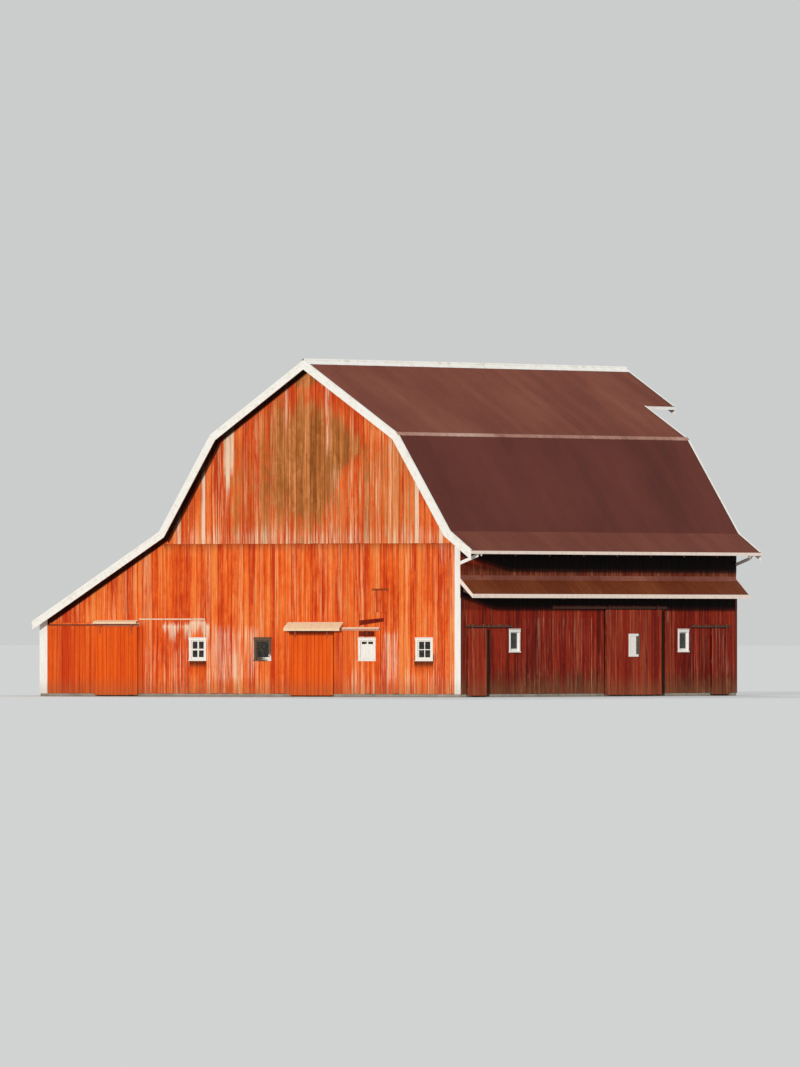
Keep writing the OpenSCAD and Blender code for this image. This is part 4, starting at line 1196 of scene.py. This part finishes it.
def sash(piece, at, u0, u1, z0, z1, zone):
    """A sash's stiles and rails."""
    for a, b in ((u0, u0 + STILE), (u1 - STILE, u1)):
        piece.box(at, a, b, z0, z1, SASH_BACK, SASH_FACE, zone)
    for a, b in ((z0, z0 + STILE + 0.012), (z1 - STILE, z1)):
        piece.box(at, u0 + STILE, u1 - STILE, a, b, SASH_BACK, SASH_FACE, zone)


def bars(piece, at, u0, u1, z0, z1, wide):
    """The crossing bars of a sash."""
    u, z, half, face = (u0 + u1) / 2, (z0 + z1) / 2, wide / 2, SASH_FACE - 0.003
    piece.box(at, u - half, u + half, z0 + STILE + 0.013, z1 - STILE - 0.001, SASH_BACK, face)
    for a, b in ((u0 + STILE + 0.001, u - half - 0.001), (u + half + 0.001, u1 - STILE - 0.001)):
        piece.box(at, a, b, z - half, z + half, SASH_BACK, face)


def windows():
    """All windows. Of the front's four, the second is bare and broken and the third boarded over."""
    casings, sashes = Piece("window_casings"), Piece("window_sashes")
    _, bare, covered, thin = sorted(window for window in WINDOWS if window[0] == "front")
    for window in WINDOWS:
        side, u0, u1, z0, z1 = window
        at = SIDES[side]
        zone = bare_window_zone(u0, u1, z0) if window is bare else None
        # The sill is cut short where the open front door passes
        casing(casings, at, u0, u1, z0, z1, CASING + (0.004 if window is covered else 0.022), zone)
        u0, u1, z0, z1 = u0 + 0.091, u1 - 0.091, z0 + 0.091, z1 - 0.091
        sash(sashes, at, u0, u1, z0, z1, zone)
        if window is not bare and side != "right":
            bars(sashes, at, u0, u1, z0, z1, 0.03 if window is thin else 0.056)
        if window is covered:
            step = (u1 - u0 - 0.02) / 3
            edges = [u0 + 0.01 + k * step for k in range(4)]
            for a, b in zip(edges, edges[1:]):
                top = z1 - 0.12 + casings.rng.gauss(0, 0.006)
                sashes.board(at, a + 0.001, b - 0.001, z0 + 0.01, top, -0.002, 0.014)
    casings.done((WINDOW_TRIM,), "barn", "white_trim", "window_frames")
    sashes.done((WINDOW_TRIM,), "barn", "white_trim")
    cover(GLASS, "window_glass")


# Doors: a wheel's tread radius, and the outer faces of strap irons and of a leaf's boards
TREAD = 0.035
STRAP_FACE = 0.0828
LEAF_FACE = LEAF_OUT - 0.001
WHEEL = ((0.006, 0.036), (0.03, 0.036), (TREAD, 0.0375), (TREAD, 0.0525), (0.03, 0.054),
         (0.018, 0.052), (0.014, 0.0555), (0.006, 0.0555))
AXLE = ((0.0078, 0.035), (0.0078, 0.075))
NUT = ((0.014, 0.0826), (0.014, 0.088), (0.011, 0.0905), (0.004, 0.0915))


def hangers(piece, at, u0, u1, top):
    """Wheels on their axles and the strap irons that hold the leaf."""
    axle = top + HANGER_RISE - TREAD
    for u in (u0 + 0.25, u1 - 0.25):
        piece.turned(at, u, axle, WHEEL)
        piece.turned(at, u, axle, AXLE, 14)
        piece.box(at, u - 0.024, u + 0.024, top - 0.25, axle + 0.028, 0.0755, STRAP_FACE, ease=0.0015)
        piece.turned(at, u, axle, NUT, 6)
        for z in (top - 0.22, top - 0.13, top - 0.04):
            piece.bolt(at, u, z, STRAP_FACE, sides=10)


def ledges_and_braces(piece, at, u0, u1, ledges):
    """Ledges across the back of a leaf, with slanting braces in its lowest and highest bays."""
    inner, outer = LEAF_IN + 0.001, LEAF_OUT - 0.0235
    for z in ledges:
        piece.box(at, u0 + 0.02, u1 - 0.02, z - 0.075, z + 0.075, inner, outer, slot=2)
    bays = max(1, round((u1 - u0) / 1.9))
    for low, high in (ledges[:2], ledges[-2:]):
        z0, z1 = low + 0.078, high - 0.078
        for a, b in parts(u0 + 0.06, u1 - 0.06, bays):
            flat = [(a, z0), (a + 0.14, z0), (b, z1), (b - 0.14, z1)]
            rings = [[at(u, o, z) for u, z in flat] for o in (inner, outer)]
            piece.rings(rings, piece.tone(), slot=2)


def leaf(node, material, zone=None, width=0.16, hole=None, body=None):
    """A boarded leaf: upright boards outside, ledges and braces inside. hole is its window, and
    body is what it rides on where that isn't a body of its own."""
    body = body or node
    at = SIDES[DOOR_SIDE[node]]
    u0, u1, z0, top = leaf_of(node)
    piece = Piece(node + "_boards")
    draw = piece.rng
    ledges = [z0 + 0.18, (z0 + top) / 2, top - 0.16]
    for a, b in board_edges(draw, u0, u1, width, hole[:2] if hole else ()):
        gap = draw.uniform(0.0008, 0.002)
        tone = piece.tone()
        foot = z0 + abs(draw.gauss(0, 0.004))
        pierced = hole and hole[0] < (a + b) / 2 < hole[1]
        for low, high in ((foot, hole[2]), (hole[3], top)) if pierced else ((foot, top),):
            face = LEAF_FACE + draw.gauss(0, 0.0007)
            piece.board(at, a + gap, b - gap, low, high, face, 0.021, tone, zone, step=0.3, wild=0.5,
                        back=2)
            for z in ledges:
                if low + 0.03 < z < high - 0.03:
                    for u in (a + 0.03, b - 0.03):
                        piece.nail(at, u, z + draw.gauss(0, 0.006), LEAF_FACE, 0.0055, 0.002)
    if hole:
        ledges[1:2] = [hole[2] - 0.09, hole[3] + 0.09]
    ledges_and_braces(piece, at, u0, u1, ledges)
    piece.done((material, NAIL, INNER), body, "door_boards", node)
    irons = Piece(node + "_hangers")
    hangers(irons, at, u0, u1, top)
    irons.done((HANGER,), body, "rail_metal")


def leaves():
    """The six leaves. All but the rear one slide."""
    low, high = BIG_WINDOW
    leaf("front_door", DOOR, new_zone)
    leaf("lean_to_door", DOOR, new_zone)
    leaf("side_front_door", SHADE_DOOR)
    leaf("side_rear_door", SHADED_RED, side_zone)
    leaf("rear_door", SHADED_RED, body="barn")
    leaf("big_side_door", SHADE_DOOR, width=0.21,
         hole=(low.y + 0.05, high.y - 0.05, low.z + 0.05, high.z - 0.05))


def big_window_cover():
    """The boarded-over window of the big door and the white strip on the leaf's front edge."""
    piece = Piece("big_door_window_boards")
    at = SIDES["right"]
    low, high = BIG_WINDOW
    u0, u1, z0, z1 = low.y, high.y, low.z, high.z
    wide, face = 0.085, LEAF_OUT + CASING
    piece.board(at, u0, u0 + wide, z0, z1, face, CASING - 0.001)
    piece.board(at, u1 - wide, u1, z0, z1, face, CASING - 0.001, zone=evenly(0.85, 0.0, 0.0, 0.0))
    for a, b in ((z1 - wide, z1), (z0, z0 + wide)):
        piece.box(at, u0 + wide + 0.001, u1 - wide - 0.001, a, b, LEAF_OUT + 0.001, face)
    step = (u1 - u0 - 2 * wide - 0.004) / 4
    for k in range(4):
        a = u0 + wide + 0.002 + k * step
        piece.board(at, a + 0.001, a + step - 0.001, z0 + wide + 0.001, z1 - wide - 0.001,
                    LEAF_OUT + 0.008, 0.016, zone=evenly(0.8, 0.0, 0.0, 0.0) if k == 3 else None)
    # The pale strip on the leaf's front edge is faded paint, and partly painted highlight of that edge
    # in the sun
    u0, _, z0, top = leaf_of("big_side_door")
    piece.board(at, u0 + 0.002, u0 + 0.075, z0 + 0.02, top - 0.005, LEAF_OUT + 0.018, 0.0175,
                zone=strip_zone, slot=1)
    piece.done((WINDOW_TRIM, SHADE_DOOR), "big_side_door", "white_trim", "big_door_window")


def hay_door():
    """Two boarded leaves with ledges and strap hinges, shut."""
    piece = Piece("hay_door_boards")
    at = SIDES["rear"]
    u0, u1, z0, z1 = HAY_LOW.x, HAY_HIGH.x, HAY_LOW.z, HAY_HIGH.z
    inner, outer = HAY_LOW.y - REAR, HAY_HIGH.y - REAR
    for a, b in ((u0, RIDGE - 0.004), (RIDGE + 0.004, u1)):
        for c, d in board_edges(piece.rng, a, b, 0.17):
            piece.board(at, c + 0.0015, d - 0.0015, z0, z1, outer - 0.016, 0.022, zone=side_zone)
        hinge = (a, a + 0.42) if a == u0 else (b - 0.42, b)
        for z in (z0 + 0.25, z1 - 0.25):
            piece.box(at, a + 0.02, b - 0.02, z - 0.06, z + 0.06, outer - 0.0155, outer - 0.001)
            piece.box(at, *hinge, z - 0.018, z + 0.018, outer - 0.0008, outer + 0.004, slot=1)
    piece.box(at, u0 + 0.03, u1 - 0.03, z0 + 0.02, z0 + 0.1, inner - 0.06, inner + 0.001, slot=2)
    piece.done((SHADED_RED, IRON, INNER), "barn", "door_boards", "hay_door")


def headers():
    """Header and ledge boards in lengths, and the upright jamb board by the big door."""
    piece = Piece("door_header_boards")
    for low, high in islands("door_frames"):
        side, u0, u1, out = on_wall(low, high)
        at = SIDES[side]
        if high[2] - low[2] > 1.0:
            piece.board(at, u0, u1, low[2], high[2], out, out - 0.0005, zone=strip_zone, slot=1)
            continue
        zone, slot = (header_zone, 0) if side == "front" else (evenly(0.34, 0.0, 0.0, 0.0), 1)
        for a, b in parts(u0, u1, max(1, round((u1 - u0) / 2.6))):
            top = high[2] - abs(piece.rng.gauss(0, 0.002))
            piece.box(at, a + 0.001, b - 0.001, low[2], top, 0.0005, out - 0.001, zone, slot)
    piece.done((RED, SHADED_RED), "barn", "white_trim", "door_frames")


def rail_bolts():
    """Bolt heads along the rails, with stops at the rails' ends."""
    piece = Piece("rail_bolts")
    for low, high in islands("door_rails"):
        side, u0, u1, _ = on_wall(low, high)
        at = SIDES[side]
        count = round((u1 - u0) / 0.6)
        for k in range(count + 1):
            u = u0 + 0.06 + (u1 - u0 - 0.12) * k / count
            piece.bolt(at, u, (low[2] + high[2]) / 2, 0.06)
        for u in (u0 + 0.001, u1 - 0.009):
            piece.box(at, u, u + 0.008, low[2] - 0.004, high[2] + 0.03, 0.029, 0.063, ease=0.001)
    piece.done((IRON,), "barn", "rail_metal")
    cover(RAIL, "door_rails")


def hoods():
    """Hoods over the doors: lapped boards on the slope and a front board."""
    piece = Piece("door_hood_boards")
    uneven = piece.rng.uniform
    for low, high in islands("door_hoods"):
        side, u0, u1, reach = on_wall(low, high)
        at = SIDES[side]
        big = reach > 0.2
        fall, front, rows = (0.2, 0.11, 3) if big else (0.06, 0.08, 1)
        top = high[2]
        tip = top - fall
        run = math.hypot(reach, fall)
        down, normal = Vector((reach, -fall)) / run, Vector((fall, reach)) / run
        for k in range(rows):
            def sloped(s, o, u, rise=0.004 * (rows - 1 - k)):
                place = down * s + normal * (o - 0.018 + rise)
                return at(u, place.x, top + place.y)

            s0, s1 = run * k / rows, run * (k + 1) / rows + (0.012 if k < rows - 1 else 0.004)
            piece.board(sloped, s0 + 0.001, s1, u0 + uneven(0, 0.008), u1 - uneven(0, 0.008), 0.014,
                        0.015, wild=0.6)
        piece.box(at, u0 + 0.004, u1 - 0.004, tip - front, tip - 0.02, reach - 0.021, reach - 0.001)
        if big:
            bracket = [(0.001, top - 0.032), (reach - 0.024, tip - 0.036),
                       (reach - 0.024, tip - 0.06), (0.001, top - 0.09)]
            for u in (u0 + 0.03, u1 - 0.07):
                piece.prism(at, bracket, (u, u + 0.04))
    piece.done((HOOD_PAINT,), "barn", "white_trim", "door_hoods")


# CAD nodes that keep their shape
def eased(width, *nodes):
    """Worn edges on parts that keep their own shape."""
    for node in nodes:
        bevel = NODES[node].modifiers.new("worn edges", "BEVEL")
        bevel.width = width
        bevel.segments = 2
        bevel.limit_method = "ANGLE"
        bevel.harden_normals = False


def plain_nodes():
    """Materials and worn edges of the nodes that no piece replaces."""
    cover(UPRIGHT_TRIM, "corner_boards")
    cover(TRIM, "front_rake_boards", "rear_rake_boards")
    cover(FASCIA_PAINT, "eave_fascias", "pent_trim")
    cover(BRACKET_PAINT, "eave_brackets")
    cover(CONCRETE, "foundation", "door_sills")
    cover(FRAME_TIMBER, "posts", "frame_beams", "rafters", "purlins", "pent_brackets",
          "hay_hood_beam")
    eased(0.005, "corner_boards", "front_rake_boards", "rear_rake_boards", "eave_fascias",
          "pent_trim", "eave_brackets", "pent_brackets")
    eased(0.01, "foundation", "posts", "frame_beams", "hay_hood_beam")


# Stage, light and camera. A lamp is its strength, its width in degrees, its colour, and the turn
# and height that it shines from
LAMPS = {"key": (1.95, 3.0, (1.0, 0.975, 0.93), 14, 11),
         "fill": (1.0, 8.0, (1.0, 1.0, 1.0), 90, 38),
         "back": (0.85, 8.0, (1.0, 1.0, 1.0), 225, 24)}
AMBIENT, AMBIENT_STRENGTH = (0.93, 0.97, 1.0, 1), 0.45
BACKDROP = (0.6, 0.61, 0.61, 1)
FLOOR_LIT, FLOOR_SEEN = (0.5, 0.49, 0.47, 1), (0.76, 0.76, 0.75, 1)
# The photo's distant camera: its turn, how far off it is, its height, and the spot it looks at,
# as metres left of the near corner and above the ground
CAMERA_TURN, CAMERA_DISTANCE, EYE = math.radians(32.4), 590.0, 2.25
AIM_LEFT, AIM_HEIGHT = 2.1, 5.7
CAMERA_LENS, SENSOR = 572, 36


def floor():
    """A wide floor, paler to the camera than in the light that it throws back."""
    bpy.ops.mesh.primitive_plane_add(size=4000, location=(0, 0, -0.002))
    plane = bpy.context.object
    plane.name = "floor"
    s = Shade("floor", 1.0, specular=0.0)
    seen = add_node(s.tree, "ShaderNodeLightPath").outputs["Is Camera Ray"]
    choose = add_node(s.tree, "ShaderNodeMix", seen, data_type="RGBA")
    put(choose.inputs[6], FLOOR_LIT)
    put(choose.inputs[7], FLOOR_SEEN)
    put(s.bsdf.inputs["Base Color"], choose.outputs[2])
    plane.data.materials.append(s.material)


def backdrop():
    """Even light from all round, with a grey backdrop behind the barn."""
    world = bpy.data.worlds.new("studio")
    bpy.context.scene.world = world
    world.use_nodes = True
    tree = world.node_tree
    tree.nodes.clear()
    seen = add_node(tree, "ShaderNodeLightPath").outputs["Is Camera Ray"]
    light = add_node(tree, "ShaderNodeBackground", AMBIENT, AMBIENT_STRENGTH).outputs[0]
    grey = add_node(tree, "ShaderNodeBackground", BACKDROP).outputs[0]
    either = add_node(tree, "ShaderNodeMixShader", seen, light, grey).outputs[0]
    add_node(tree, "ShaderNodeOutputWorld", either)


def add(name, data, place, toward):
    """A lamp or camera at a place, which looks along the opposite of toward."""
    thing = bpy.data.objects.new(name, data)
    thing.location = place
    thing.rotation_euler = toward.to_track_quat("Z", "Y").to_euler()
    bpy.context.scene.collection.objects.link(thing)
    return thing


def lamps():
    """Low sun from the front right, soft light from the right, and light from behind."""
    for name, (energy, angle, colour, turn, height) in LAMPS.items():
        lamp = bpy.data.lights.new(name, "SUN")
        lamp.energy = energy
        lamp.angle = math.radians(angle)
        lamp.color = colour
        turn, height = math.radians(turn), math.radians(height)
        add(name, lamp, (0, 0, 0), Vector((math.sin(turn) * math.cos(height),
                                           -math.cos(turn) * math.cos(height), math.sin(height))))


def camera():
    """The photo's view of the barn."""
    lens = bpy.data.cameras.new("camera")
    lens.lens = CAMERA_LENS
    lens.sensor_width = SENSOR
    lens.clip_start = 1.0
    lens.clip_end = 5000
    sine, cosine = math.sin(CAMERA_TURN), math.cos(CAMERA_TURN)
    place = Vector((RIGHT + CAMERA_DISTANCE * sine, FRONT - CAMERA_DISTANCE * cosine, EYE))
    aim = Vector((RIGHT - AIM_LEFT * cosine, FRONT - AIM_LEFT * sine, AIM_HEIGHT))
    bpy.context.scene.camera = add("camera", lens, place, place - aim)
    bpy.context.scene.view_settings.view_transform = "Standard"


# The build, in order
walls()
roofs()
flashings()
ridge()
edge_trim()
windows()
leaves()
big_window_cover()
hay_door()
headers()
rail_bolts()
hoods()
plain_nodes()
floor()
backdrop()
lamps()
camera()
